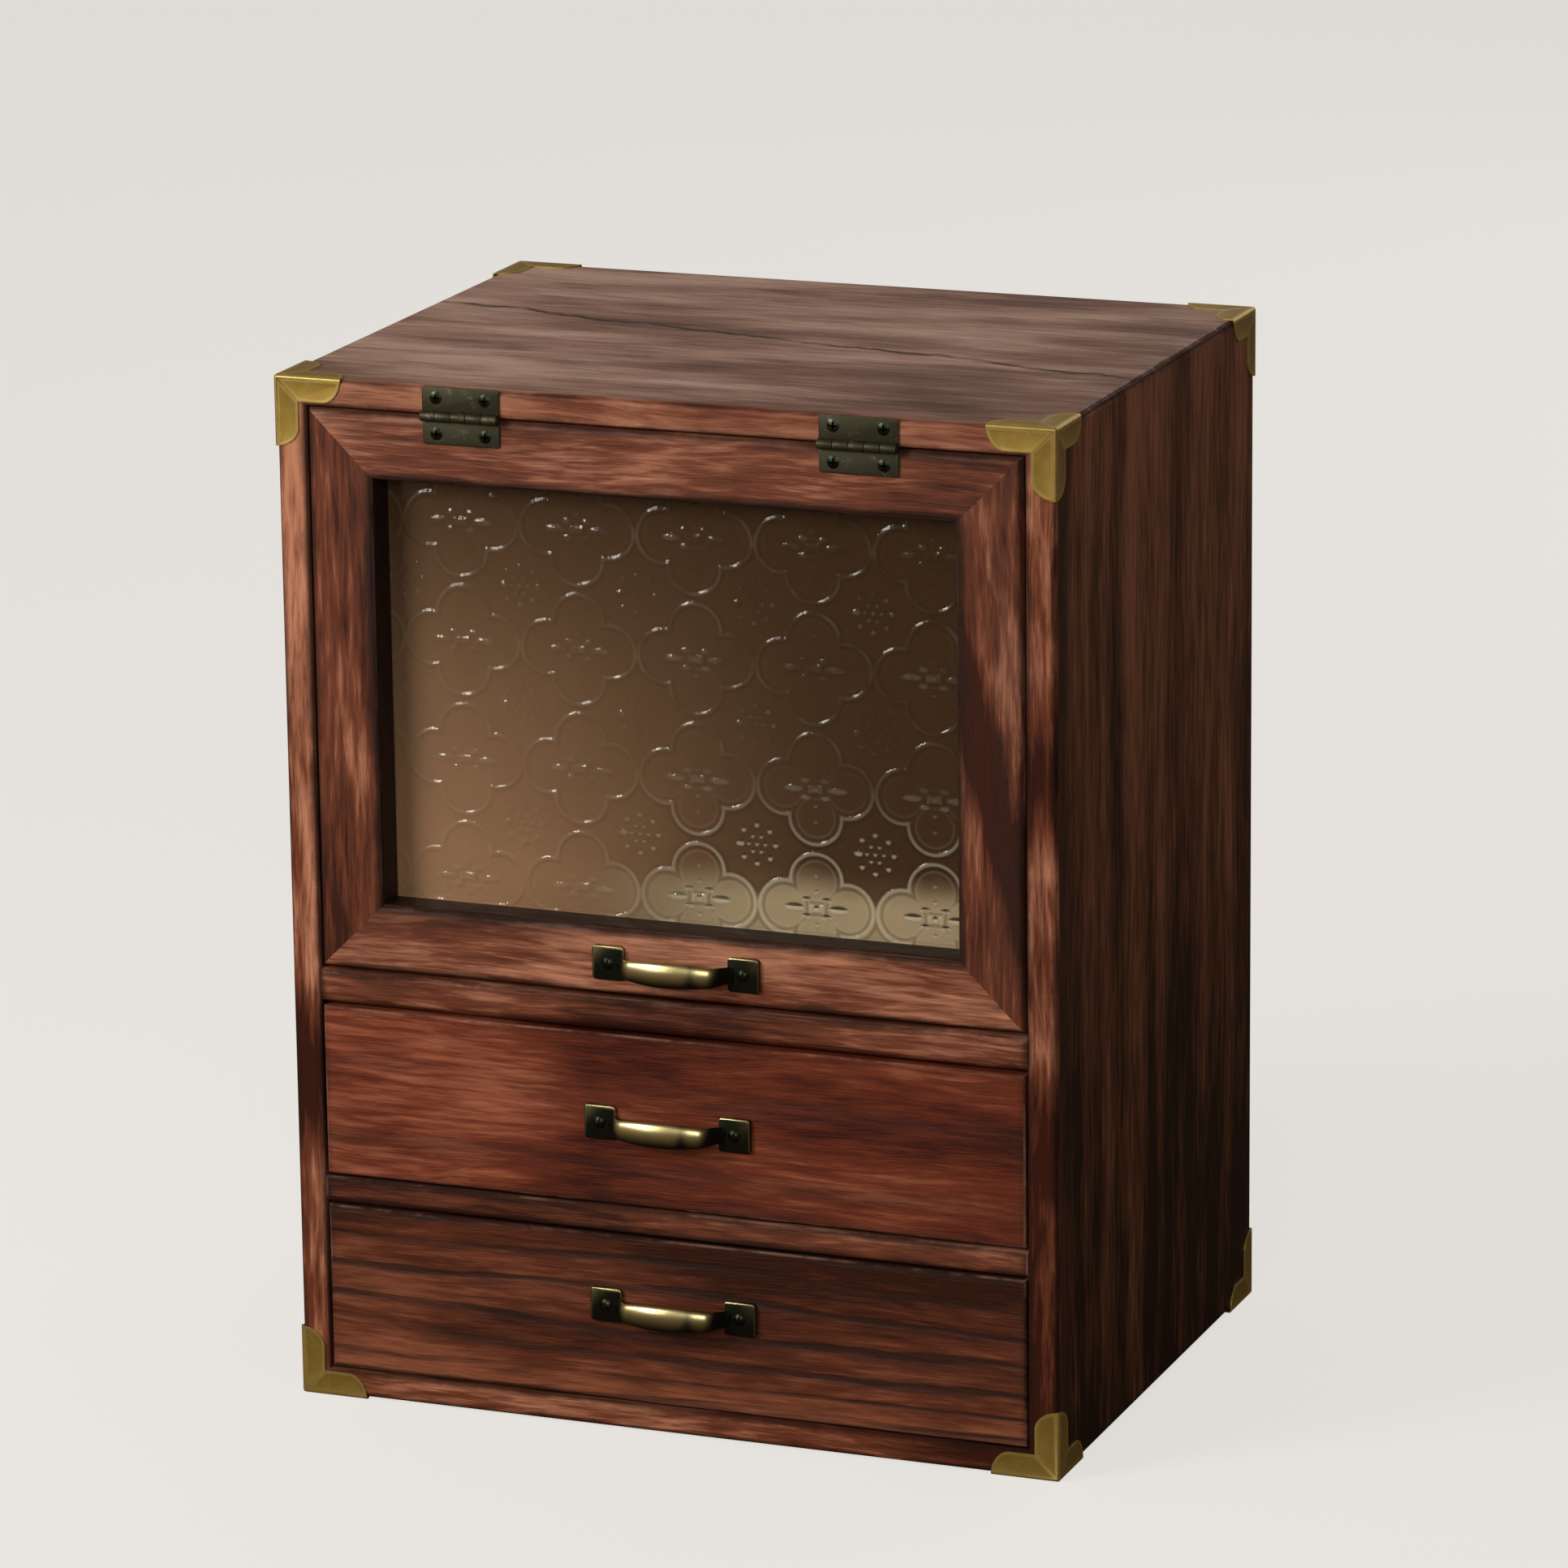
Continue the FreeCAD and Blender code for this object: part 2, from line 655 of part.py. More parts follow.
def drawer(name, low, high, handle_x, handle_rise, parts):
    """One drawer: front, two sides, back, bottom, handle, screws and corner nails."""
    front_low = low + drawer_reveal
    front_high = high - drawer_reveal
    front_half = inner_half_width - drawer_reveal
    side_outer = inner_half_width - drawer_side_play
    side_inner = side_outer - drawer_side_thickness
    box_low = low + drawer_lift
    box_high = box_low + drawer_box_height
    rear = back_panel_front - drawer_end_gap
    front = box(-front_half, front_half, 0, drawer_front_thickness, front_low, front_high)
    front = front.makeFillet(drawer_front_radius, edges_where(front, lambda p: close(p.y, 0)))
    sides = {}
    for sign, word in ((-1, "left"), (1, "right")):
        ends = sorted((sign * side_inner, sign * side_outer))
        sides[word] = box(ends[0], ends[1], drawer_lap, rear, box_low, box_high)
        lap = sorted((sign * side_inner, sign * (front_half + overcut)))
        front = front.cut(box(
            lap[0], lap[1],
            drawer_lap, drawer_front_thickness + overcut,
            front_low - overcut, box_high,
        ))
    back = box(-side_inner, side_inner, rear - drawer_side_thickness, rear, box_low, box_high)
    bottom_low = box_low + drawer_bottom_height
    bottom_high = bottom_low + drawer_bottom_thickness
    reach = drawer_groove_depth
    groove = box(
        -side_inner - reach, side_inner + reach,
        drawer_front_thickness - reach, rear - drawer_side_thickness + reach,
        bottom_low, bottom_high,
    )
    slim = reach - drawer_bottom_slack
    bottom = box(
        -side_inner - slim, side_inner + slim,
        drawer_front_thickness - slim, rear - drawer_side_thickness + slim,
        bottom_low, bottom_high,
    )
    front = front.cut(groove)
    back = back.cut(groove)
    pin = nail(nail_radius, nail_head_radius, nail_head_height, drawer_nail_length)
    nails = []
    for sign in (-1, 1):
        for y in ((drawer_lap + drawer_front_thickness) / 2.0, rear - drawer_side_thickness / 2.0):
            for z in (bottom_high + drawer_nail_above_bottom, box_high - drawer_nail_below_top):
                nails.append(aim(pin, sign * side_outer, y, z, (-sign, 0, 0)))
    handle_z = (front_low + front_high) / 2.0 + handle_rise
    screws = handle_screws(handle_x, handle_z)
    pieces = {
        "front": front.cut(screws).cut(nails),
        "left_side": sides["left"].cut(groove).cut(nails),
        "right_side": sides["right"].cut(groove).cut(nails),
        "back": back.cut(nails),
    }
    for word, piece in pieces.items():
        parts[f"{name}_{word}"] = piece
    parts[f"{name}_bottom"] = bottom
    parts[f"{name}_handle"] = bow_handle(handle_x, handle_z)
    parts[f"{name}_handle_screws"] = Part.makeCompound(screws)
    parts[f"{name}_nails"] = Part.makeCompound(nails)


def cabinet(parts):
    """The fixed body: carcass, boards, back, guards and its side of the hinges."""
    parts.update(carcass())
    shelf = cross_board(shelf_bottom, shelf_thickness, shelf_upper_radius, shelf_lower_radius)
    divider = cross_board(
        divider_bottom, divider_thickness, divider_upper_radius, divider_lower_radius)
    shelf_pins = dowels(shelf_bottom + shelf_thickness / 2.0)
    divider_pins = dowels(divider_bottom + divider_thickness / 2.0)
    nails = back_nails()
    for word in ("left_side_panel", "right_side_panel"):
        parts[word] = parts[word].cut(shelf_pins).cut(divider_pins).cut(nails)
    for word in ("top_panel", "bottom_panel"):
        parts[word] = parts[word].cut(nails)
    parts["middle_shelf"] = shelf.cut(shelf_pins)
    parts["drawer_divider"] = divider.cut(divider_pins)
    parts["shelf_dowels"] = Part.makeCompound(shelf_pins)
    parts["divider_dowels"] = Part.makeCompound(divider_pins)
    parts["back_panel"] = back_panel().cut(nails)
    parts["back_panel_nails"] = Part.makeCompound(nails)
    parts.update(corner_guards())


def door(parts):
    """The flip-up door with its glass, strips and handle."""
    parts.update(door_frame())
    parts["glass_pane"] = glass_pane()
    strips = glass_strips()
    brads = glass_brads()
    for word, strip in strips.items():
        parts[word] = strip.cut(brads)
    for word in ("door_top_rail", "door_bottom_rail", "door_left_stile", "door_right_stile"):
        parts[word] = parts[word].cut(brads)
    parts["glass_strip_brads"] = Part.makeCompound(brads)
    handle_z = door_bottom + door_frame_width / 2.0 + door_handle_rise
    screws = handle_screws(door_handle_x, handle_z)
    parts["door_bottom_rail"] = parts["door_bottom_rail"].cut(screws)
    parts["door_handle"] = bow_handle(door_handle_x, handle_z)
    parts["door_handle_screws"] = Part.makeCompound(screws)


def hinges(parts):
    """Both hinges: leaves, pins and screws."""
    seat = (hinge_leaf_thickness, hinge_screw_head_height, hinge_screw_countersink)
    upper = screws_on(hinge_screw_places(True), *seat)
    lower = screws_on(hinge_screw_places(False), *seat)
    for word, x in (("left", -hinge_offset_x), ("right", hinge_offset_x)):
        parts[f"{word}_hinge_upper_leaf"] = hinge_leaf(x, True).cut(upper)
        parts[f"{word}_hinge_lower_leaf"] = hinge_leaf(x, False).cut(lower)
        parts[f"{word}_hinge_pin"] = hinge_pin(x)
    parts["top_panel"] = parts["top_panel"].cut(upper)
    parts["door_top_rail"] = parts["door_top_rail"].cut(lower)
    parts["cabinet_hinge_screws"] = Part.makeCompound(upper)
    parts["door_hinge_screws"] = Part.makeCompound(lower)


def catch(parts):
    """The stop strip with its magnet, and the strike plate with its screw."""
    z = shelf_top + catch_height_above_shelf
    stop_front = door_thickness + stop_strip_gap
    half = stop_strip_length / 2.0
    strip = box(
        -half, half, stop_front, stop_front + stop_strip_depth, shelf_top, shelf_top + stop_strip_height)
    magnet = cylinder_y(magnet_radius, stop_front, stop_front + magnet_length, 0, z)
    plate = cylinder_y(magnet_radius, door_thickness - strike_plate_thickness, door_thickness, 0, z)
    profile = [
        (0, 0), (strike_screw_head_radius, 0), (strike_screw_radius, strike_screw_head_height),
        (strike_screw_radius, strike_screw_length - strike_screw_tip_length),
        (blunt_tip_radius, strike_screw_length),
        (0, strike_screw_length),
    ]
    screw = aim(turned(profile), 0, door_thickness, z, (0, -1, 0))
    parts["door_stop_strip"] = strip.cut(magnet)
    parts["catch_magnet"] = magnet
    parts["catch_strike_plate"] = plate.cut(screw)
    parts["catch_strike_screw"] = screw
    parts["door_bottom_rail"] = parts["door_bottom_rail"].cut(plate).cut(screw)


def build():
    """Every piece of the organizer by name, in the final frame."""
    parts = {}
    cabinet(parts)
    door(parts)
    hinges(parts)
    catch(parts)
    drawer("upper_drawer", divider_top, shelf_bottom, upper_handle_x, upper_handle_rise, parts)
    drawer("lower_drawer", opening_bottom, divider_bottom, lower_handle_x, lower_handle_rise, parts)
    for piece in parts.values():
        piece.translate(Vector(0, front_y, 0))
    return parts


def main():
    """Write one STEP file per piece."""
    os.makedirs("parts", exist_ok=True)
    for name, piece in build().items():
        piece.exportStep(f"parts/{name}.step")
        bounds = piece.BoundBox
        print(f"{name}: {len(piece.Solids)} solid(s), {piece.Volume:.1f} mm3, valid {piece.isValid()}, "
              f"x {bounds.XMin:.2f} {bounds.XMax:.2f} y {bounds.YMin:.2f} {bounds.YMax:.2f} "
              f"z {bounds.ZMin:.2f} {bounds.ZMax:.2f}")


if __name__ == "__main__":
    main()
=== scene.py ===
"""Looks of the makeup organizer: a small wooden cabinet with a glass flap and two drawers.

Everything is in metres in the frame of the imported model: X to the right, Y to the back, Z up,
and the origin under the middle of the organizer. The boards, strips, nails and screws of the
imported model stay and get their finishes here. The glass, the handles, the corner guards and the
hinges are built anew in their places.
"""
import logging
import math
from dataclasses import dataclass, field
from enum import Enum

import bmesh
import bpy
from bmesh.types import BMEdge, BMesh, BMFace, BMVert
from bpy.types import Material, Node, NodeSocket, NodeTree, Object, bpy_prop_collection
from mathutils import Matrix, Vector


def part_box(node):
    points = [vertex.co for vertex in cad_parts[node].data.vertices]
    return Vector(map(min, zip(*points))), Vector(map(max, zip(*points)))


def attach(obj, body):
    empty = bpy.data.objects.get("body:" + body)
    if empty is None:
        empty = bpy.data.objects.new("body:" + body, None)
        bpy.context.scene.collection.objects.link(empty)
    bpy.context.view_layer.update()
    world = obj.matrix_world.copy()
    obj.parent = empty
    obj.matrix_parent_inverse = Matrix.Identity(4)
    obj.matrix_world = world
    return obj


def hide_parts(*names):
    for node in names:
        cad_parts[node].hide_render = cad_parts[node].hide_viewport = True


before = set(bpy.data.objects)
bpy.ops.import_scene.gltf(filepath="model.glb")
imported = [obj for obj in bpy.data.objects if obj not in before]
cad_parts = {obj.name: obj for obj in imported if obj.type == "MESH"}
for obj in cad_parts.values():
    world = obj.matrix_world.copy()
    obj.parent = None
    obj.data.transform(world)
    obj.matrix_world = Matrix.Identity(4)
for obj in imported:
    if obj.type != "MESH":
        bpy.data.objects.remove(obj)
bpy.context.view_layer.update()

MM = 0.001
FRONT = -0.10375  # the faces of the boards at the front
MIDDLE = (0.0, 0.0, 0.188)
LOG = logging.getLogger("organizer")

Colour = tuple[float, float, float]
Value = NodeSocket | float | tuple


class Grain(Enum):
    """The direction in which a board's fibres run, with the turn that lays them along X."""

    ACROSS = (0.0, 0.0, 0.0)
    DEEP = (0.0, 0.0, -math.pi / 2)
    UPRIGHT = (0.0, math.pi / 2, 0.0)


def rgba(colour: Value) -> Value:
    """A plain colour with its alpha, or the socket as it is."""
    return colour if isinstance(colour, NodeSocket) else (*colour, 1.0)


class Graph:
    """A node tree with short ways to add and join nodes."""

    def __init__(self, tree: NodeTree) -> None:
        """Keep the tree that the nodes go into."""
        self.tree = tree

    def feed(self, node: Node, feeds: dict[str | int, Value]) -> None:
        """Link or set some of a node's inputs.

        Args:
            node: The node.
            feeds: A socket or a plain value for each input, by name or number.
        """
        for key, value in feeds.items():
            if isinstance(value, NodeSocket):
                self.tree.links.new(value, node.inputs[key])
            else:
                node.inputs[key].default_value = value

    def node(self, kind: str, feeds: dict[str | int, Value] | None = None, **settings: object) -> Node:
        """Add a node.

        Args:
            kind: The node's type name without its ShaderNode prefix.
            feeds: A socket or a plain value for each input, by name or number.
            **settings: Values for the node's own properties.

        Returns:
            The new node.
        """
        made = self.tree.nodes.new("ShaderNode" + kind)
        for name, value in settings.items():
            setattr(made, name, value)
        self.feed(made, feeds or {})
        return made

    def math(self, operation: str, *values: Value, clamp: bool = False) -> NodeSocket:
        """The result of a Math node, or of a chain of them for more than two values.

        Args:
            operation: The operation of each node.
            *values: What goes in, in order.
            clamp: Whether each result is kept between 0 and 1.

        Returns:
            The last result.
        """
        total = values[0]
        for value in values[1:] or (0.0,):
            total = self.node("Math", {0: total, 1: value}, operation=operation, use_clamp=clamp).outputs[0]
        return total

    def plus(self, *values: Value) -> NodeSocket:
        """The sum of some values."""
        return self.math("ADD", *values)

    def minus(self, a: Value, b: Value) -> NodeSocket:
        """One value less another."""
        return self.math("SUBTRACT", a, b)

    def times(self, *values: Value) -> NodeSocket:
        """The product of some values."""
        return self.math("MULTIPLY", *values)

    def most(self, *values: Value) -> NodeSocket:
        """The largest of some values."""
        return self.math("MAXIMUM", *values)

    def swing(self, pattern: Value, amount: Value) -> NodeSocket:
        """How far a pattern is from its middle of 0.5, times an amount."""
        return self.times(self.minus(pattern, 0.5), amount)

    def vector(self, operation: str, a: Value, b: Value) -> NodeSocket:
        """The vector that a Vector Math node makes of two others."""
        return self.node("VectorMath", {0: a, 1: b}, operation=operation).outputs[0]

    def split(self, vector: Value) -> list[NodeSocket]:
        """The three numbers of a vector."""
        return list(self.node("SeparateXYZ", {0: vector}).outputs)

    def band(self, value: Value, low: Value, high: Value, start: float = 0.0, end: float = 1.0) -> NodeSocket:
        """A smooth step from start at low to end at high."""
        feeds = {0: value, 1: low, 2: high, 3: start, 4: end}
        return self.node("MapRange", feeds, interpolation_type="SMOOTHSTEP").outputs[0]

    def mix(self, share: Value, a: Value, b: Value) -> NodeSocket:
        """A colour between two others, with a share of the second."""
        return self.node("Mix", {0: share, 6: rgba(a), 7: rgba(b)}, data_type="RGBA").outputs[2]

    def ramp(self, value: Value, stops: list[tuple[float, Colour]]) -> NodeSocket:
        """A colour ramp.

        Args:
            value: The place on the ramp.
            stops: The ramp's places and colours.

        Returns:
            The colour.
        """
        node = self.node("ValToRGB", {0: value})
        elements = node.color_ramp.elements
        while len(elements) < len(stops):
            elements.new(0.5)
        for element, (place, colour) in zip(elements, stops):
            element.position = place
            element.color = rgba(colour)
        return node.outputs[0]

    def noise(self, place: Value, cycles: float | tuple, detail: float = 3.0, rough: float = 0.55,
              distort: float = 0.0) -> NodeSocket:
        """A noise round 0.5.

        Args:
            place: The place that is looked up.
            cycles: Cycles per metre, or their number along each axis.
            detail: The number of finer layers.
            rough: The share of each finer layer.
            distort: How much the pattern is bent.

        Returns:
            The noise.
        """
        each = cycles if isinstance(cycles, tuple) else (cycles,) * 3
        feeds = {"Vector": self.vector("MULTIPLY", place, each), "Scale": 1.0, "Detail": detail,
                 "Roughness": rough, "Distortion": distort}
        return self.node("TexNoise", feeds).outputs[0]

    def attribute(self, name: str) -> NodeSocket:
        """A value that the mesh holds at its vertices."""
        return self.node("Attribute", attribute_name=name, attribute_type="GEOMETRY").outputs["Fac"]

    def bump(self, height: Value, strength: float, distance: float) -> NodeSocket:
        """The normals of a surface with a relief."""
        return self.node("Bump", {"Height": height, "Strength": strength, "Distance": distance}).outputs[0]

    def group(self, tree: NodeTree, feeds: dict[str | int, Value]) -> bpy_prop_collection:
        """The outputs of a node group that is fed so."""
        return self.node("Group", feeds, node_tree=tree).outputs


def new_group(name: str, vectors: tuple, values: tuple, outputs: tuple) -> tuple:
    """Start a shader node group with named sockets.

    Args:
        name: The group's name.
        vectors: The names of its inputs that are vectors.
        values: The names of its inputs that are plain values.
        outputs: The names of its outputs, which are plain values.

    Returns:
        The group, its graph, its inputs and the node that takes its outputs.
    """
    tree = bpy.data.node_groups.new(name, "ShaderNodeTree")
    sockets = [(key, "INPUT", "Vector") for key in vectors] + [(key, "INPUT", "Float") for key in values]
    for key, way, kind in sockets + [(key, "OUTPUT", "Float") for key in outputs]:
        tree.interface.new_socket(name=key, in_out=way, socket_type="NodeSocket" + kind)
    start = tree.nodes.new("NodeGroupInput")
    return tree, Graph(tree), start.outputs, tree.nodes.new("NodeGroupOutput")


def board_grain_group() -> NodeTree:
    """The figure of a board whose fibres run along X.

    Returns:
        The group. Tone is its lightness, Burn its scorched streaks, Relief its raised grain.
    """
    tree, g, start, end = new_group(
        "board_grain", ("Place",), ("Streaks", "Rings", "Ring Pitch", "Bands", "Contrast", "Fine"),
        ("Tone", "Burn", "Relief"))
    place = start["Place"]
    bend = g.swing(g.noise(place, (6.0, 16.0, 16.0), 2.0), 0.012)
    bent = g.vector("ADD", place, g.node("CombineXYZ", {1: bend, 2: bend}).outputs[0])
    cloud = g.noise(bent, (8.0, 36.0, 36.0))
    stroke = g.noise(bent, (40.0, 430.0, 430.0), distort=0.25)
    fibre = g.noise(bent, (70.0, 1600.0, 1600.0), 2.0, 0.6)
    band = g.noise(bent, (1.3, 44.0, 44.0), 3.0, 0.5)
    pore = g.band(g.noise(bent, (110.0, 1800.0, 1800.0), 1.0, 0.5), 0.60, 0.72)
    tone = 0.5
    for source, weight, share in ((cloud, 1.45, "Contrast"), (stroke, 1.05, "Fine"), (fibre, 0.42, "Fine")):
        tone = g.plus(tone, g.times(g.swing(source, weight), start[share]))
    x, y, z = g.split(place)
    wander = g.times(g.noise(place, (3.0, 22.0, 22.0), 5.0), 0.028)
    cycle = g.math("FRACT", g.math("DIVIDE", g.plus(z, g.times(y, 0.3), wander), start["Ring Pitch"]))
    late = g.times(g.band(cycle, 0.56, 0.84), g.band(cycle, 1.0, 0.88))
    faded = g.band(g.noise(bent, (5.0, 70.0, 70.0), 3.0, 0.6), 0.36, 0.60, 0.22, 1.0)
    scorch = g.band(g.noise(bent, (3.2, 62.0, 62.0), 5.0, 0.68), 0.49, 0.70)
    burn = g.most(g.times(scorch, start["Streaks"]), g.times(late, faded, start["Rings"]))
    burn = g.math("ADD", burn, g.times(pore, 0.30), clamp=True)
    g.feed(end, {"Tone": g.plus(tone, g.swing(band, start["Bands"])), "Burn": burn,
                 "Relief": g.minus(g.plus(g.times(stroke, 0.8), fibre), burn)})
    return tree


def arris_group() -> NodeTree:
    """How near a surface point is to an edge of the box around its board.

    Returns:
        The group. Arris is 1 on an edge and falls to 0 at the reach, in an uneven line. The second
        output is 1 on a thin broken line along the edge itself, where a highlight is painted.
    """
    tree, g, start, end = new_group("arris", ("Place", "Low", "High"), ("Reach",), ("Arris", "Edge Highlight"))
    place = start["Place"]
    a, b, c = g.split(g.vector("MINIMUM", g.vector("SUBTRACT", place, start["Low"]),
                               g.vector("SUBTRACT", start["High"], place)))
    middle = g.most(g.math("MINIMUM", a, b), g.math("MINIMUM", g.most(a, b), c))
    reach = g.times(start["Reach"], g.plus(g.times(g.noise(place, 45.0, 5.0, 0.65), 3.4), -0.7))
    broken = g.band(g.noise(place, 24.0, 5.0, 0.7), 0.44, 0.64)
    # The second output marks a painted highlight line along the edge.
    g.feed(end, {"Arris": g.band(middle, 0.0, reach, 1.0, 0.0),
                 "Edge Highlight": g.times(g.band(middle, 0.0011, 0.0004), broken)})
    return tree


def drift_group() -> NodeTree:
    """How a board's colour drifts from one side of it to the other.

    Returns:
        The group. Shift runs from minus to plus half the lean along each axis, added up.
    """
    tree, g, start, end = new_group("drift", ("Place", "Low", "High", "Lean"), (), ("Shift",))
    share = g.vector("DIVIDE", g.vector("SUBTRACT", start["Place"], start["Low"]),
                     g.vector("SUBTRACT", start["High"], start["Low"]))
    centred = g.vector("SUBTRACT", share, (0.5, 0.5, 0.5))
    shift = g.node("VectorMath", {0: centred, 1: start["Lean"]}, operation="DOT_PRODUCT")
    g.feed(end, {"Shift": shift.outputs["Value"]})
    return tree


def zones_group() -> NodeTree:
    """Where a surface point is in the cabinet.

    Returns:
        The group. Behind is 1 behind the front faces, Inside is 1 within the carcass.
    """
    tree, g, start, end = new_group("zones", ("Place",), (), ("Behind", "Inside"))
    x, y, z = g.split(start["Place"])
    walls, ceiling, base, mouth = (0.1340, 0.1336), (0.3660, 0.3656), (0.0098, 0.0104), (-0.0905, -0.0860)
    limits = ((g.math("ABSOLUTE", x), walls), (z, ceiling), (z, base), (y, mouth))
    g.feed(end, {"Behind": g.band(y, FRONT + 1.2 * MM, FRONT + 3.0 * MM),
                 "Inside": g.times(*(g.band(value, *limit) for value, limit in limits))})
    return tree


def patina_group() -> NodeTree:
    """Dark patina that is rubbed away on the heights of a metal piece.

    Returns:
        The group. Bright is 1 on bare metal, Speck its fine uneven roughness, Relief its pitting.
    """
    tree, g, start, end = new_group("patina", ("Place",), ("Rub", "Wear"), ("Bright", "Speck", "Relief"))
    coarse = g.noise(start["Place"], 210.0, 4.0, 0.6)
    fine = g.noise(start["Place"], 1400.0, 3.0, 0.6)
    uneven = g.plus(g.times(coarse, 0.7), g.times(fine, 0.3))
    bare = g.plus(start["Rub"], g.times(g.swing(uneven, start["Wear"]), 3.0))
    g.feed(end, {"Bright": g.band(bare, 0.1, 0.9), "Speck": fine, "Relief": uneven})
    return tree


class Groups:
    """The shared node groups, each built once."""

    def __init__(self) -> None:
        """Build them all."""
        self.board_grain = board_grain_group()
        self.arris = arris_group()
        self.drift = drift_group()
        self.zones = zones_group()
        self.patina = patina_group()


class Surface(Graph):
    """The graph of a new material, with its shader and the Object coordinates at hand."""

    def __init__(self, name: str) -> None:
        """Start the material.

        Args:
            name: Its name.
        """
        self.material = bpy.data.materials.new(name)
        self.material.use_nodes = True
        super().__init__(self.material.node_tree)
        self.shader = self.tree.nodes["Principled BSDF"]
        self.place = self.node("TexCoord").outputs["Object"]

    def shade(self, feeds: dict[str | int, Value]) -> Material:
        """Feed the shader and return the finished material."""
        self.feed(self.shader, feeds)
        return self.material


@dataclass(frozen=True)
class Stain:
    """The colours of a stained surface, from its darkest figure to its lightest."""

    dark: Colour
    middle: Colour
    light: Colour

    def colour(self, g: Graph, tone: NodeSocket) -> NodeSocket:
        """The stain's colour where the figure has a tone."""
        return g.ramp(tone, [(0.16, self.dark), (0.52, self.middle), (0.92, self.light)])


@dataclass(frozen=True)
class WoodFinish:
    """A stained and varnished board with scorched edges and streaks.

    The front stain is on the faces that look forward, the flank stain on the others, and the
    lining on those inside the cabinet. The arrises are scorched over their reach. A crack is given
    by where it crosses the middle and by its slope, an opening by its half width, half height and
    middle height. On the door frame the flank stain and the dark band round the opening are
    scorch and painted shade of the window recess together. The wear draws thin painted highlights
    along the edges, where they catch the light.
    """

    name: str
    front: Stain
    flank: Stain | None = None
    lining: Stain | None = None
    scorch_and_shade_dark: Colour = (0.014, 0.005, 0.003)
    # The colour of the painted highlight lines along the edges.
    painted_edge_highlight: Colour = (0.38, 0.19, 0.13)
    streaks: float = 0.55
    rings: float = 0.0
    ring_pitch: float = 0.008
    bands: float = 0.0
    contrast: float = 1.0
    fine: float = 1.0
    reach: float = 0.0028
    arris_depth: float = 0.8
    # The wear is how strongly the painted edge highlights show.
    wear: float = 0.0
    crack: tuple[float, float] | None = None
    opening: tuple[float, float, float] | None = None
    front_scorch: float = 0.0
    roughness: tuple[float, float] = (0.40, 0.58)
    sheen: float = 0.22
    relief: float = 0.30
    grain_depth: float = 0.6 * MM
    figure_step: tuple[float, float, float] = (0.37, 0.113, 0.071)

    def material(self, node: str, groups: Groups, board: "Board", seed: int) -> Material:
        """The finish on one board.

        Args:
            node: The board's node.
            groups: The shared node groups.
            board: How its fibres run and how its stain drifts.
            seed: A number that picks its figure.

        Returns:
            The material.
        """
        g = Surface(f"{self.name}_{node}")
        low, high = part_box(node)
        turned = g.node("Mapping", {"Vector": g.place, "Rotation": board.grain.value,
                                    "Location": tuple(seed * step for step in self.figure_step)}).outputs[0]
        figure = g.group(groups.board_grain, {
            "Place": turned, "Streaks": self.streaks, "Rings": self.rings, "Ring Pitch": self.ring_pitch,
            "Bands": self.bands, "Contrast": self.contrast, "Fine": self.fine})
        box = {"Place": g.place, "Low": tuple(low), "High": tuple(high)}
        edge = g.group(groups.arris, {**box, "Reach": self.reach})
        drift = g.group(groups.drift, {**box, "Lean": board.lean})
        zones = g.group(groups.zones, {"Place": g.place})
        tone = g.plus(figure["Tone"], g.plus(drift["Shift"], board.tone))
        front_tone = g.plus(tone, board.length_tone(g, low, high)) if board.tones else tone
        colour = self.front.colour(g, front_tone)
        # On the door frame the flank stain is scorch and painted shade of the window recess.
        if self.flank:
            colour = g.mix(zones["Behind"], colour, self.flank.colour(g, tone))
        scorched = [g.times(figure["Burn"], 0.85)]
        if self.crack:
            scorched.append(self.crack_mask(g))
        scorched.append(g.times(edge["Arris"], self.arris_depth))
        # The band round the opening is scorch together with painted shade of the window recess.
        if self.opening:
            scorched.append(self.opening_mask(g))
        if self.front_scorch:
            wash = g.band(g.split(g.place)[1], -0.0850, -0.0990, 0.0, self.front_scorch)
            scorched.append(g.times(wash, zones["Behind"]))
        for mask in scorched:
            colour = g.mix(mask, colour, self.scorch_and_shade_dark)
        # Thin painted highlights along the edges, where they catch the light.
        if self.wear:
            colour = g.mix(g.times(edge["Edge Highlight"], self.wear), colour, self.painted_edge_highlight)
        if self.lining:
            colour = g.mix(zones["Inside"], colour, self.lining.colour(g, figure["Tone"]))
        varnish = g.band(figure["Relief"], 0.2, 1.2, self.roughness[1], self.roughness[0])
        return g.shade({
            "Base Color": colour, "Specular IOR Level": self.sheen,
            "Roughness": g.most(varnish, g.band(edge["Arris"], 0.0, 0.9, 0.0, 0.95)),
            "Normal": g.bump(figure["Relief"], self.relief, self.grain_depth)})

    def opening_mask(self, g: Surface) -> NodeSocket:
        """The mask of the dark band round the opening of a frame, scorch and painted shade of the recess
        together.

        Args:
            g: The material's graph.

        Returns:
            The mask.
        """
        half_width, half_height, middle = self.opening
        x, y, z = g.split(g.place)
        aside = g.minus(g.math("ABSOLUTE", x), half_width)
        above = g.minus(g.math("ABSOLUTE", g.minus(z, middle)), half_height)
        reach = g.times(g.noise(g.place, 30.0, 4.0, 0.6), 0.0105)
        return g.band(g.most(aside, above), 0.0, reach, 0.88, 0.0)

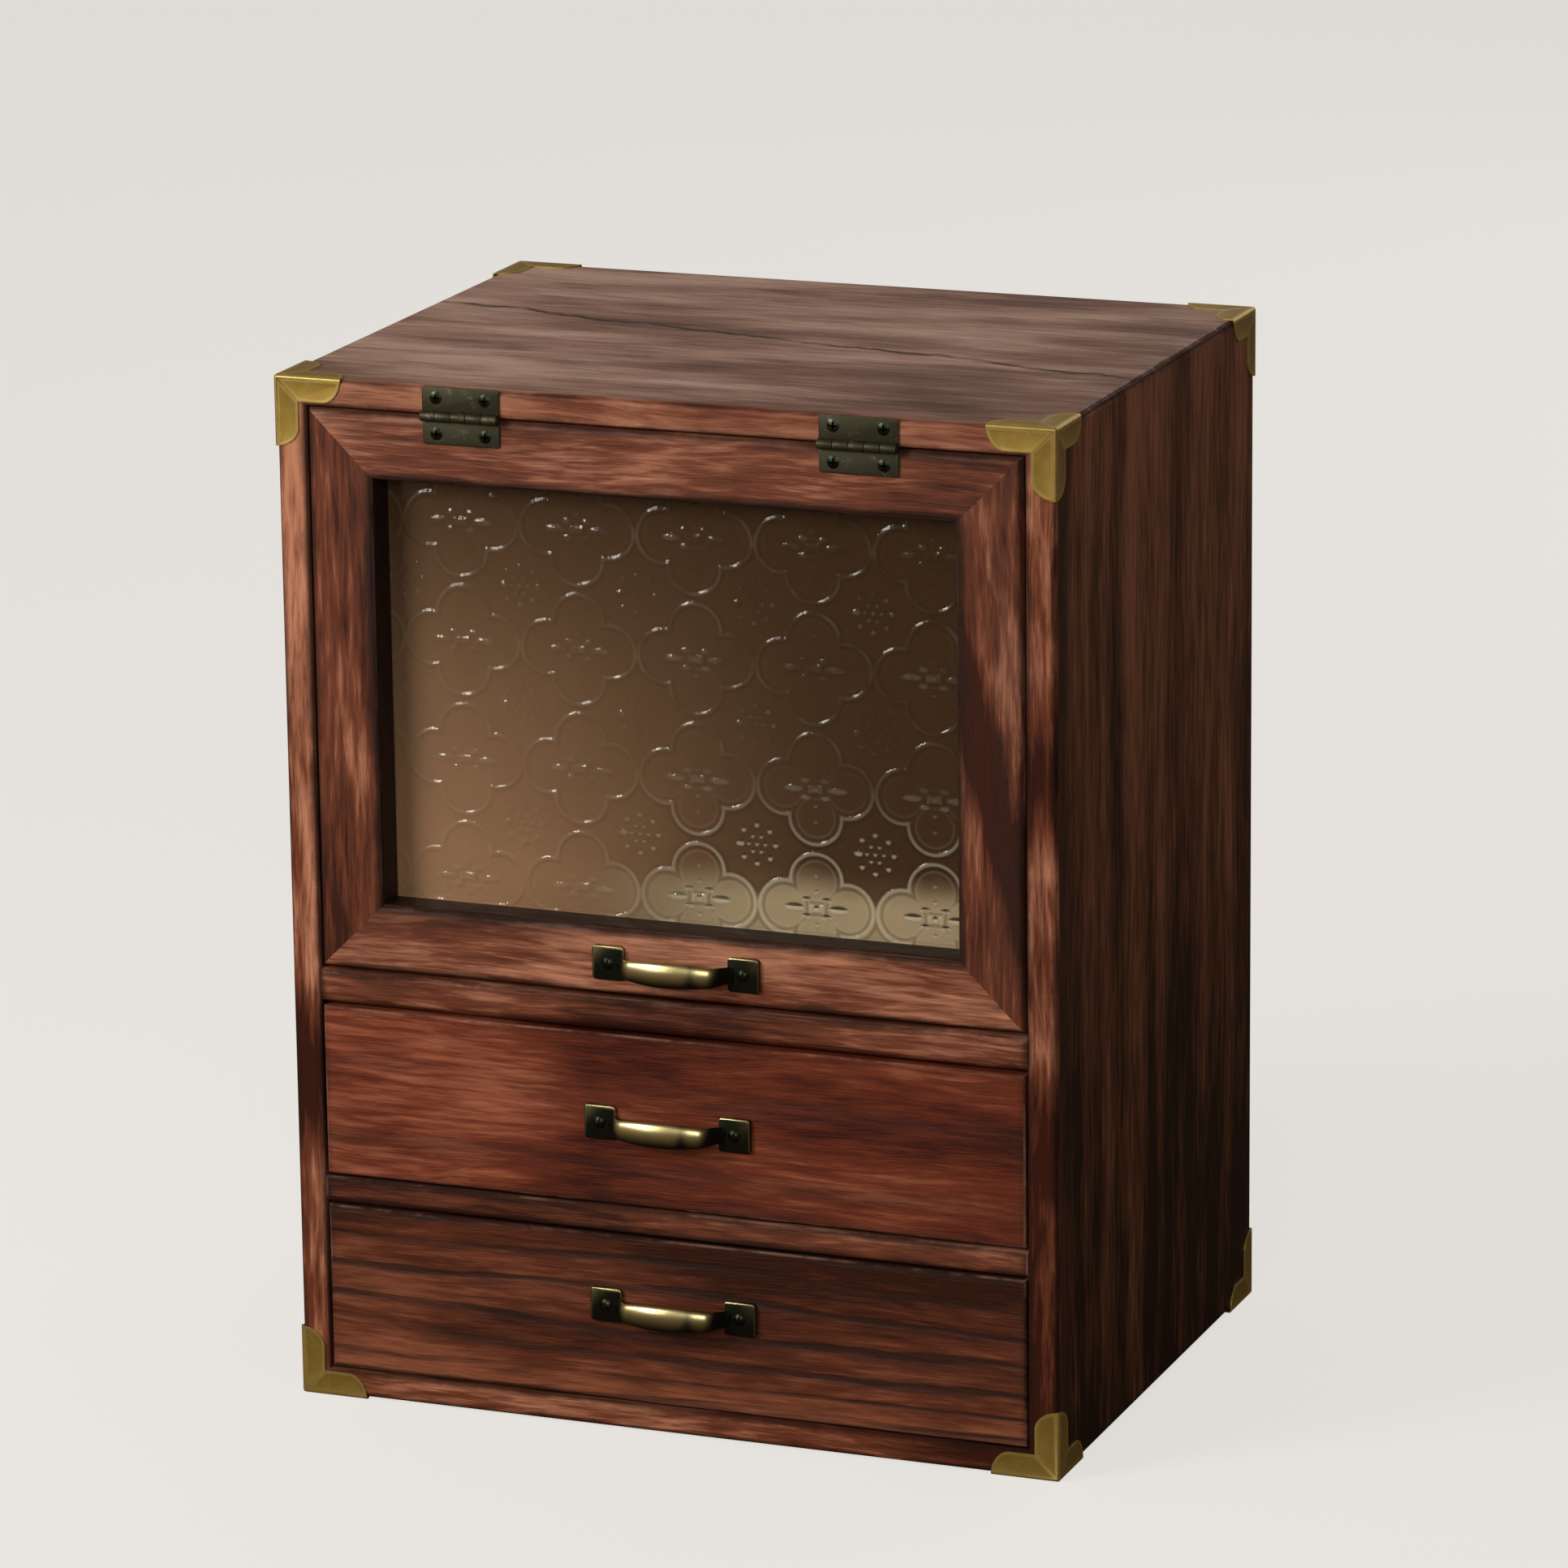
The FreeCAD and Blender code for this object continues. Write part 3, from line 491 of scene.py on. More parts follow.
    def crack_mask(self, g: Surface) -> NodeSocket:
        """The mask of a fine drying crack that crosses the board at a slant.

        Args:
            g: The material's graph.

        Returns:
            The mask.
        """
        middle, slope = self.crack
        x, y, z = g.split(g.place)
        wander = g.swing(g.noise(g.place, (22.0, 0.0, 0.0), 4.0, 0.6), 0.024)
        off = g.math("ABSOLUTE", g.minus(y, g.plus(g.times(x, slope), g.plus(wander, middle))))
        open_share = g.band(g.noise(g.place, (31.0, 5.0, 0.0), 3.0, 0.6), 0.36, 0.56, 0.30, 0.90)
        return g.times(g.band(off, 0.0026, 0.0005), open_share)


@dataclass(frozen=True)
class MetalFinish:
    """Metal with a dark patina in its hollows and bare metal on its heights."""

    name: str
    dark: Colour
    bright: Colour
    roughness: tuple[float, float] = (0.50, 0.30)
    wear: float = 0.3
    rub: float | None = None
    metallic: float = 1.0
    relief: float = 0.15
    pit_depth: float = 0.2 * MM

    def material(self, groups: Groups) -> Material:
        """The finish. Without a rub of its own it reads the mesh's rub attribute.

        Args:
            groups: The shared node groups.

        Returns:
            The material.
        """
        g = Surface(self.name)
        rub = g.attribute("rub") if self.rub is None else self.rub
        patina = g.group(groups.patina, {"Place": g.place, "Rub": rub, "Wear": self.wear})
        rough = g.band(patina["Bright"], 0.0, 1.0, *self.roughness)
        return g.shade({
            "Base Color": g.mix(patina["Bright"], self.dark, self.bright), "Metallic": self.metallic,
            "Roughness": g.math("ADD", rough, g.swing(patina["Speck"], self.wear * 0.4), clamp=True),
            "Normal": g.bump(patina["Relief"], self.relief, self.pit_depth)})


@dataclass(frozen=True)
class GlassFinish:
    """Rolled amber glass with a painted hazy reflection towards its lower left, a painted pale band of light
    along its lower right, and painted light and shade on its figure.

    The steps say between which places across or up the pane a change of colour runs.
    """

    name: str = "rolled_glass"
    clear: Colour = (0.100, 0.055, 0.024)
    # The lighter colour towards the lower left is a painted reflection haze.
    painted_haze: Colour = (0.65, 0.405, 0.235)
    # The pale colour is painted light: the lit shelf seen through the lower right of the pane.
    pale: Colour = (0.66, 0.55, 0.36)
    # The shaded colour is painted shade, in the foils' gaps and on the figure's upward flanks.
    shaded: Colour = (0.045, 0.028, 0.014)
    # The raised colour is a painted highlight on the raised figure and on the crests.
    raised: Colour = (1.0, 0.95, 0.76)
    # The painted reflection haze runs between these places across and down the pane.
    painted_haze_across: tuple[float, float] = (0.085, -0.125)
    painted_haze_down: tuple[float, float] = (0.375, 0.185)
    # The painted light of the lit shelf lies between these places across and down.
    light_across: tuple[float, float] = (-0.050, 0.030)
    light_down: tuple[float, float] = (0.2500, 0.2080)
    painted_band_down: tuple[float, float] = (0.2125, 0.1970)
    roughness: float = 0.11
    transmission: float = 0.72
    ior: float = 1.45
    passes: float = 0.85

    def material(self) -> Material:
        """The finish, which reads the figure's height and flanks and the outlines from the mesh, and paints
        light and shade from them.

        Returns:
            The material.
        """
        g = Surface(self.name)
        x, y, z = g.split(g.place)
        figure, outline, flank = g.attribute("rub"), g.attribute("outline"), g.attribute("flank")
        # Painted reflection haze, lighter towards the lower left.
        cloud = g.times(g.band(x, *self.painted_haze_across, 0.05, 1.0), g.band(z, *self.painted_haze_down),
                        g.plus(1.0, g.swing(g.noise(g.place, 26.0), 0.30)))
        # Towards the lower right, where the painted light of the lit shelf lies.
        rightward = g.band(x, *self.light_across)
        near_light = g.times(g.band(z, *self.light_down), rightward)
        # Painted shade darkens the gaps between the foils near the painted light.
        gap = g.band(outline, -0.3, 0.3)
        level = g.plus(z, g.swing(g.noise(g.place, 40.0), 0.008), g.times(gap, 0.0110))
        body = g.mix(g.times(gap, near_light, 0.15), g.mix(cloud, self.clear, self.painted_haze), self.shaded)
        # The pale band paints the lit shelf as it is seen through the glass.
        body = g.mix(g.times(g.band(level, *self.painted_band_down), rightward), body, self.pale)
        shown = g.most(g.band(g.noise(g.place, 55.0), 0.40, 0.66, 0.0, 0.16), near_light)
        # Painted highlights on the crests and the raised figure, painted shade beside the ridges and on
        # upward flanks; they show most near the painted light.
        painted_crest_light = g.most(self.line(g, outline, 0.0, 0.9), g.times(self.line(g, outline, -2.6, 0.7), 0.2))
        painted_ridge_shade = g.most(self.line(g, outline, -1.5, 0.75), self.line(g, outline, 1.5, 0.8))
        light = g.times(g.most(g.band(figure, 0.1, 0.7), g.times(painted_crest_light, 0.6)), shown)
        dark = g.times(g.most(g.band(flank, -0.1, -0.6), g.times(painted_ridge_shade, 0.4)), shown)
        path = g.node("LightPath").outputs
        lets_in = g.most(path["Is Shadow Ray"], path["Is Diffuse Ray"])
        return g.shade({
            "Base Color": g.mix(dark, g.mix(light, body, self.raised), self.shaded),
            "Roughness": self.roughness, "Transmission Weight": self.transmission, "IOR": self.ior,
            "Normal": g.bump(g.noise(g.place, 520.0, 2.0), 0.35, 0.3 * MM),
            "Alpha": g.minus(1.0, g.times(lets_in, self.passes))})

    def line(self, g: Graph, outline: NodeSocket, at: float, half_width: float) -> NodeSocket:
        """The mask of a soft line at a distance from the foils' outlines, in millimetres."""
        return g.band(g.math("ABSOLUTE", g.minus(outline, at)), half_width, half_width / 4)


FRONT_STAIN = Stain((0.040, 0.009, 0.004), (0.160, 0.045, 0.021), (0.50, 0.215, 0.125))
# The reveal's near-black colour is scorch and painted shade of the recess round the glass.
REVEAL_SCORCH_AND_SHADE = Stain((0.010, 0.004, 0.003), (0.028, 0.010, 0.006), (0.075, 0.026, 0.015))
# The top's greyish light tones are partly a painted sheen over the stain.
TOP_STAIN_AND_SHEEN = Stain((0.070, 0.028, 0.020), (0.228, 0.115, 0.086), (0.51, 0.325, 0.255))
SIDE_STAIN = Stain((0.014, 0.004, 0.0007), (0.102, 0.035, 0.016), (0.27, 0.10, 0.053))
UPPER_STAIN = Stain((0.048, 0.006, 0.002), (0.148, 0.029, 0.011), (0.37, 0.120, 0.062))
LOWER_STAIN = Stain((0.031, 0.006, 0.0015), (0.102, 0.025, 0.010), (0.255, 0.081, 0.038))
WALL_LINING = Stain((0.050, 0.024, 0.013), (0.085, 0.043, 0.023), (0.14, 0.075, 0.042))
SHELF_LINING = Stain((0.50, 0.38, 0.22), (0.68, 0.54, 0.33), (0.78, 0.66, 0.44))
BARE_STAIN = Stain((0.11, 0.05, 0.030), (0.21, 0.105, 0.062), (0.33, 0.19, 0.115))
THIN_STAIN = Stain((0.050, 0.024, 0.014), (0.090, 0.045, 0.026), (0.15, 0.080, 0.048))
DOWEL_STAIN = Stain((0.42, 0.28, 0.17), (0.55, 0.40, 0.26), (0.66, 0.50, 0.34))

DIVIDER_WOOD = WoodFinish("divider_wood", FRONT_STAIN, reach=0.0038, wear=0.35)
# The door frame's dark reveal and opening band paint the shade of the window recess along with scorch.
FRAME_WOOD = WoodFinish("frame_wood", FRONT_STAIN, REVEAL_SCORCH_AND_SHADE, reach=0.0034, wear=0.25,
                        opening=(0.1082, 0.0771, 0.2634))
CARCASS_WOOD = WoodFinish("carcass_wood", FRONT_STAIN, SIDE_STAIN, WALL_LINING, streaks=0.40, bands=1.5,
                          contrast=0.70, sheen=0.12, reach=0.0030, front_scorch=0.80)
TOP_WOOD = WoodFinish("top_wood", FRONT_STAIN, TOP_STAIN_AND_SHEEN, WALL_LINING, streaks=0.34, contrast=1.25, fine=0.6,
                      reach=0.0020, crack=(0.0100, -0.19), sheen=0.16)
BOTTOM_WOOD = WoodFinish("bottom_wood", FRONT_STAIN, SIDE_STAIN, WALL_LINING, streaks=0.5, sheen=0.12,
                         reach=0.0030)
SHELF_WOOD = WoodFinish("shelf_wood", FRONT_STAIN, None, SHELF_LINING, reach=0.0035, wear=0.35)
UPPER_FRONT_WOOD = WoodFinish("upper_front_wood", UPPER_STAIN, streaks=0.45, contrast=0.8, fine=0.85,
                              arris_depth=0.45, wear=0.45, rings=0.45, ring_pitch=0.027)
LOWER_FRONT_WOOD = WoodFinish("lower_front_wood", LOWER_STAIN, streaks=0.25, rings=1.15, ring_pitch=0.0094,
                              contrast=0.9, fine=0.95, arris_depth=0.45, wear=0.40)
INSIDE_WOOD = WoodFinish("inside_wood", BARE_STAIN, streaks=0.2, arris_depth=0.35, roughness=(0.6, 0.75),
                         sheen=0.2)
THIN_BOARD = WoodFinish("thin_board", THIN_STAIN, streaks=0.1, contrast=0.6, arris_depth=0.3,
                        roughness=(0.6, 0.8), sheen=0.2)
DOWEL_WOOD = WoodFinish("dowel_wood", DOWEL_STAIN, streaks=0.1, contrast=0.5, arris_depth=0.1,
                        roughness=(0.6, 0.8))

GUARD_BRASS = MetalFinish("guard_brass", (0.27, 0.175, 0.028), (0.45, 0.325, 0.095), (0.50, 0.40), 0.35,
                          metallic=0.65)
HANDLE_BRONZE = MetalFinish("handle_bronze", (0.024, 0.028, 0.020), (0.60, 0.52, 0.25), (0.42, 0.29), 0.06,
                            relief=0.02)
HINGE_BRONZE = MetalFinish("hinge_bronze", (0.038, 0.036, 0.018), (0.20, 0.175, 0.11), (0.52, 0.44), 0.9,
                           metallic=0.7)
SCREW_BRONZE = MetalFinish("screw_bronze", (0.020, 0.024, 0.016), (0.20, 0.20, 0.15), (0.36, 0.30), 0.5, 0.18)
ZINC = MetalFinish("zinc_steel", (0.20, 0.20, 0.19), (0.34, 0.34, 0.32), (0.62, 0.50), 0.6, 0.6)
NICKEL = MetalFinish("magnet_nickel", (0.50, 0.50, 0.49), (0.68, 0.68, 0.66), (0.35, 0.25), 0.4, 0.7)


@dataclass(frozen=True)
class Board:
    """A board's finish, the way its fibres run, and how its colour drifts over it.

    The tones lighten and darken its front at even steps along its fibres. On an upright board with a
    slant they sink by that many metres for each metre to the right.
    """

    finish: WoodFinish
    grain: Grain
    tone: float = 0.0
    lean: tuple[float, float, float] = (0.0, 0.0, 0.0)
    tones: tuple[float, ...] = ()
    slant: float = 0.0

    def length_tone(self, g: Surface, low: Vector, high: Vector) -> NodeSocket:
        """How much lighter the board's front is at a place along it.

        Args:
            g: The material's graph.
            low: The board's lowest corner.
            high: The board's highest corner.

        Returns:
            The shift in tone. The ramp holds it 1.0 higher, because a colour has no minus.
        """
        axis = 0 if self.grain is Grain.ACROSS else 2
        places = g.split(g.place)
        aside = g.times(g.minus(places[0], (low[0] + high[0]) / 2), self.slant)
        along = g.band(g.plus(places[axis], aside), low[axis], high[axis])
        stops = [(i / (len(self.tones) - 1), (tone + 1.0,) * 3) for i, tone in enumerate(self.tones)]
        return g.minus(g.ramp(along, stops), 1.0)


BOARDS: dict[str, Board] = {
    # The top lightens towards the back and the left: a painted sheen.
    "top_panel": Board(TOP_WOOD, Grain.ACROSS, 0.13, (-0.18, 0.12, 0.0),
                       (0.22, 0.24, 0.0, 0.10, 0.04, 0.18, 0.22)),
    "bottom_panel": Board(BOTTOM_WOOD, Grain.ACROSS, -0.06, (-0.20, 0.0, 0.0),
                          (-0.16, -0.16, 0.02, 0.06, 0.06, -0.03, -0.04)),
    # The side panels lighten towards the top: painted light falling from above.
    "left_side_panel": Board(CARCASS_WOOD, Grain.UPRIGHT, 0.07, (0.0, 0.0, 0.58),
                             (0.15, 0.18, -0.73, 0.15, 0.19, 0.17, 0.05, 0.22, 0.24)),
    # Lighter towards the top, painted light falling from above; also lighter towards the front.
    "right_side_panel": Board(CARCASS_WOOD, Grain.UPRIGHT, -0.06, (0.0, -0.26, 0.50),
                              (-0.48, -0.46, -0.60, -0.05, -0.23, -0.04, -0.72, -0.03, -0.03)),
    "middle_shelf": Board(SHELF_WOOD, Grain.ACROSS, -0.05, (0.14, 0.0, 0.0),
                          (0.30, 0.24, -0.21, -0.33, -0.25, -0.04, 0.22)),
    "drawer_divider": Board(DIVIDER_WOOD, Grain.ACROSS, -0.12, (0.30, 0.0, 0.0),
                            (-0.26, -0.25, -0.16, -0.02, 0.04, 0.0, -0.03)),
    "door_top_rail": Board(FRAME_WOOD, Grain.ACROSS, 0.10, (0.0, 0.0, 0.0),
                           (0.07, 0.07, 0.06, 0.085, 0.03, -0.04, -0.14)),
    "door_bottom_rail": Board(FRAME_WOOD, Grain.ACROSS, 0.10, (0.08, 0.0, 0.0),
                              (0.0, 0.0, 0.11, 0.05, 0.0, 0.04, 0.06)),
    "door_left_stile": Board(FRAME_WOOD, Grain.UPRIGHT, 0.0, (0.0, 0.0, -0.12),
                             (-0.16, -0.16, 0.10, -0.11, -0.22, -0.18, -0.16)),
    "door_right_stile": Board(FRAME_WOOD, Grain.UPRIGHT, -0.02, (0.0, 0.0, 0.12),
                              (0.08, 0.03, -0.66, -0.56, -0.04, 0.08, 0.10), 3.5),
    **dict.fromkeys(("door_stop_strip", "glass_strip_top", "glass_strip_bottom"),
                    Board(INSIDE_WOOD, Grain.ACROSS)),
    **dict.fromkeys(("glass_strip_left", "glass_strip_right"), Board(INSIDE_WOOD, Grain.UPRIGHT)),
    "back_panel": Board(THIN_BOARD, Grain.UPRIGHT),
    **dict.fromkeys(("shelf_dowels", "divider_dowels"), Board(DOWEL_WOOD, Grain.ACROSS)),
    "upper_drawer_front": Board(UPPER_FRONT_WOOD, Grain.ACROSS, 0.0, (-0.26, 0.0, 0.0),
                                (0.06, 0.03, -0.30, -0.17, -0.08, -0.03, 0.03)),
    "lower_drawer_front": Board(LOWER_FRONT_WOOD, Grain.ACROSS, 0.02, (-0.20, 0.0, -0.54),
                                (-0.04, -0.04, -0.05, -0.08, -0.18, -0.04, -0.02)),
}
DRAWER_BOX = {
    **dict.fromkeys(("left_side", "right_side"), Board(INSIDE_WOOD, Grain.DEEP)),
    "back": Board(INSIDE_WOOD, Grain.ACROSS),
    "bottom": Board(THIN_BOARD, Grain.DEEP),
}
BOARDS |= {f"{drawer}_{part}": board for drawer in ("upper_drawer", "lower_drawer")
           for part, board in DRAWER_BOX.items()}
FASTENERS: dict[MetalFinish, tuple[str, ...]] = {
    SCREW_BRONZE: ("cabinet_hinge_screws", "door_hinge_screws", "door_handle_screws",
                   "upper_drawer_handle_screws", "lower_drawer_handle_screws"),
    ZINC: ("back_panel_nails", "glass_strip_brads", "upper_drawer_nails", "lower_drawer_nails",
           "catch_strike_plate", "catch_strike_screw"),
    NICKEL: ("catch_magnet",),
}


@dataclass
class PackedPieces:
    """The boards, strips, screws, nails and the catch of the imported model, which get their finishes."""

    groups: Groups

    def build(self) -> int:
        """Dress every one of them.

        Returns:
            How many nodes have been dressed.
        """
        coats = {}
        for seed, (node, board) in enumerate(BOARDS.items(), start=1):
            coats[node] = board.finish.material(node, self.groups, board, seed)
        for finish, nodes in FASTENERS.items():
            coats |= dict.fromkeys(nodes, finish.material(self.groups))
        for node, material in coats.items():
            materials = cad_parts[node].data.materials
            materials.clear()
            materials.append(material)
        return len(coats)


def add_object(name: str, data: bpy.types.ID) -> Object:
    """Put new data into the scene as an object.

    Args:
        name: The object's name.
        data: Its mesh, camera or light.

    Returns:
        The object.
    """
    made = bpy.data.objects.new(name, data)
    bpy.context.scene.collection.objects.link(made)
    return made


def new_piece(name: str, bm: BMesh, material: Material, body: str, node: str,
              sharp: float) -> Object:
    """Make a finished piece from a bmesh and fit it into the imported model.

    Args:
        name: The piece's name.
        bm: Its mesh, in place. It is freed.
        material: Its finish.
        body: The body that it moves with.
        node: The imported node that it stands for.
        sharp: Edges over this many degrees stay sharp.

    Returns:
        The new object.
    """
    for face in bm.faces:
        face.smooth = True
    for edge in bm.edges:
        edge.smooth = len(edge.link_faces) == 2 and edge.calc_face_angle(0.0) < math.radians(sharp)
    mesh = bpy.data.meshes.new(name)
    bm.to_mesh(mesh)
    bm.free()
    mesh.materials.append(material)
    piece = add_object(name, mesh)
    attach(piece, body)
    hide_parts(node)
    return piece


def clamped(value: float) -> float:
    """A value kept between 0 and 1."""
    return min(1.0, max(0.0, value))


def edges_of(verts: list[BMVert]) -> list[BMEdge]:
    """Every edge that touches some vertices, once, in their order."""
    return list(dict.fromkeys(edge for vert in verts for edge in vert.link_edges))


def bevel(bm: BMesh, edges: list[BMEdge], offset: float, segments: int) -> None:
    """Round some edges of a mesh."""
    bmesh.ops.bevel(bm, geom=edges, offset=offset, affect="EDGES", segments=segments, profile=0.5,
                    material=-1)


def block(bm: BMesh, middle: tuple, size: tuple) -> list[BMVert]:
    """Add a box to a mesh, and return its corners."""
    seat = Matrix.Translation(middle) @ Matrix.Diagonal((*size, 1.0))
    return bmesh.ops.create_cube(bm, size=1.0, matrix=seat)["verts"]


def place_on_front(bm: BMesh, x: float, z: float, outward: float) -> None:
    """Move a mesh from millimetres about a place on the front into the model's frame.

    Args:
        bm: The mesh.
        x: The place across.
        z: The place upwards.
        outward: 1 where the mesh's Y looks backwards, -1 where it looks out of the wood.
    """
    turn = Matrix.Translation((x, FRONT, z)) @ Matrix.Diagonal((MM, outward * MM, MM, 1.0))
    bmesh.ops.transform(bm, matrix=turn, verts=bm.verts)


@dataclass
class GlassPane:
    """The rolled glass: a grid of foils with a blossom in each and dotted rounds between them.

    The sizes of the pattern are in millimetres. A petal has its place, its half sizes and its share
    of the height, a ring of pips its radius, their number, their size and their share.
    """

    half_width: float = 112.7 * MM
    low: float = 181.8 * MM
    high: float = 345.0 * MM
    front: float = FRONT + 13.0 * MM
    thickness: float = 3.0 * MM
    cell: float = 0.62 * MM
    relief: float = 0.38 * MM
    pitch: tuple[float, float] = (44.0, 43.0)
    centre: tuple[float, float] = (7.3, 195.8)
    side_lobe: tuple[float, float] = (11.7, 8.7)
    upright_lobe: tuple[float, float] = (10.2, 8.7)
    band_offset: float = 0.9
    band_half_width: float = 1.25
    petals: tuple[tuple[float, float, float, float, float], ...] = (
        (0.0, 0.0, 1.6, 1.3, 0.8), (8.2, 0.0, 4.6, 1.5, 0.95), (3.7, 3.0, 2.4, 1.25, 0.8),
        (0.0, 6.0, 1.3, 1.1, 0.5), (0.0, 11.8, 1.2, 1.2, 0.4))
    rounds: tuple[tuple[float, int, float, float], ...] = (
        (0.0, 1, 1.1, 0.65), (3.1, 6, 1.05, 0.62), (6.9, 8, 1.3, 0.72))
    bright_pip: tuple[float, float, float] = (-5.9, 0.0, 1.45)
    no_outline: float = -9.0

    def repeat(self, x: float, z: float, shift: float) -> list[float]:
        """A place as seen from the middle of its foil, or from that of its round where shift is 0."""
        return [(at - centre + shift * pitch) % pitch - pitch / 2
                for at, centre, pitch in zip((x, z), self.centre, self.pitch)]

    def outline(self, x: float, z: float) -> float:
        """How far outside the foils' raised outlines a place is.

        Args:
            x: The place across, in millimetres.
            z: The place upwards, in millimetres.

        Returns:
            The distance in millimetres, less than 0 inside a foil.
        """
        u, v = map(abs, self.repeat(x, z, 0.5))
        side = math.hypot(u - self.side_lobe[0], v) - self.side_lobe[1]
        upright = math.hypot(u, v - self.upright_lobe[0]) - self.upright_lobe[1]
        return min(side, upright) - self.band_offset

    def figure(self, x: float, z: float) -> float:
        """The height of the blossoms and the dotted rounds alone.

        Args:
            x: The place across, in millimetres.
            z: The place upwards, in millimetres.

        Returns:
            The height as a share of the relief.
        """
        u, v = map(abs, self.repeat(x, z, 0.5))
        petals = (share * (1.0 - ((u - at_u) / long) ** 2 - ((v - at_v) / wide) ** 2)
                  for at_u, at_v, long, wide, share in self.petals)
        return max(*petals, self.dotted_round(*self.repeat(x, z, 0.0)))

    def height(self, x: float, z: float) -> float:
        """The height at a place as a share of the relief."""
        off = self.outline(x, z) / self.band_half_width
        return max(0.5 + 0.5 * math.cos(math.pi * off) if abs(off) < 1.0 else 0.0, self.figure(x, z))

    def dotted_round(self, a: float, b: float) -> float:
        """The round of pips that fills the gap between four foils.

        Args:
            a: The place across, from the round's middle.
            b: The place upwards, from its middle.

        Returns:
            The height as a share of the relief.
        """
        at_a, at_b, size = self.bright_pip
        best = max(0.0, 1.0 - (math.hypot(a - at_a, b - at_b) / size) ** 2)
        for radius, count, size, share in self.rounds:
            turn = 2.0 * math.pi / count
            step = round(math.atan2(b, a) / turn) * turn
            off = math.hypot(a - radius * math.cos(step), b - radius * math.sin(step)) / size
            best = max(best, share * (1.0 - off * off))
        return best

    def build(self, material: Material) -> Object:
        """Build the pane as a closed slab with its relief on the front.

        Args:
            material: The glass.

        Returns:
            The piece.
        """
        bm = bmesh.new()
        width, height = 2 * self.half_width, self.high - self.low
        upright = Matrix.Translation((0.0, self.front + self.relief, (self.low + self.high) / 2)) @ \
            Matrix.Rotation(math.pi / 2, 4, "X") @ Matrix.Diagonal((width / 2, height / 2, 1.0, 1.0))
        bmesh.ops.create_grid(bm, x_segments=round(width / self.cell), y_segments=round(height / self.cell),
                              size=1.0, matrix=upright)
        rub, outline, flank = (bm.verts.layers.float.new(name) for name in ("rub", "outline", "flank"))
        rim = [edge for edge in bm.edges if edge.is_boundary]
        rear = bmesh.ops.extrude_edge_only(bm, edges=rim)["geom"]
        bmesh.ops.translate(bm, verts=[item for item in rear if isinstance(item, BMVert)],
                            vec=(0.0, self.thickness - self.relief, 0.0))
        bmesh.ops.contextual_create(
            bm, geom=[item for item in rear if isinstance(item, BMEdge) and item.is_boundary])
        slack = 0.01 * MM
        for vert in bm.verts:
            x, y, z = vert.co
            vert[outline] = self.no_outline
            if abs(x) < self.half_width - slack and self.low + slack < z < self.high - slack:
                x, z = x / MM, z / MM
                vert.co.y -= self.height(x, z) * self.relief
                # The rub and flank values carry the figure's height and its up-down slope, from which the
                # glass paints light on raised parts and shade on upward flanks.
                vert[rub] = self.figure(x, z)
                vert[outline] = self.outline(x, z)
                vert[flank] = self.figure(x, z + 0.5) - self.figure(x, z - 0.5)
        bmesh.ops.recalc_face_normals(bm, faces=bm.faces)
        return new_piece("rolled_glass_pane", bm, material, "door", "glass_pane", 80.0)


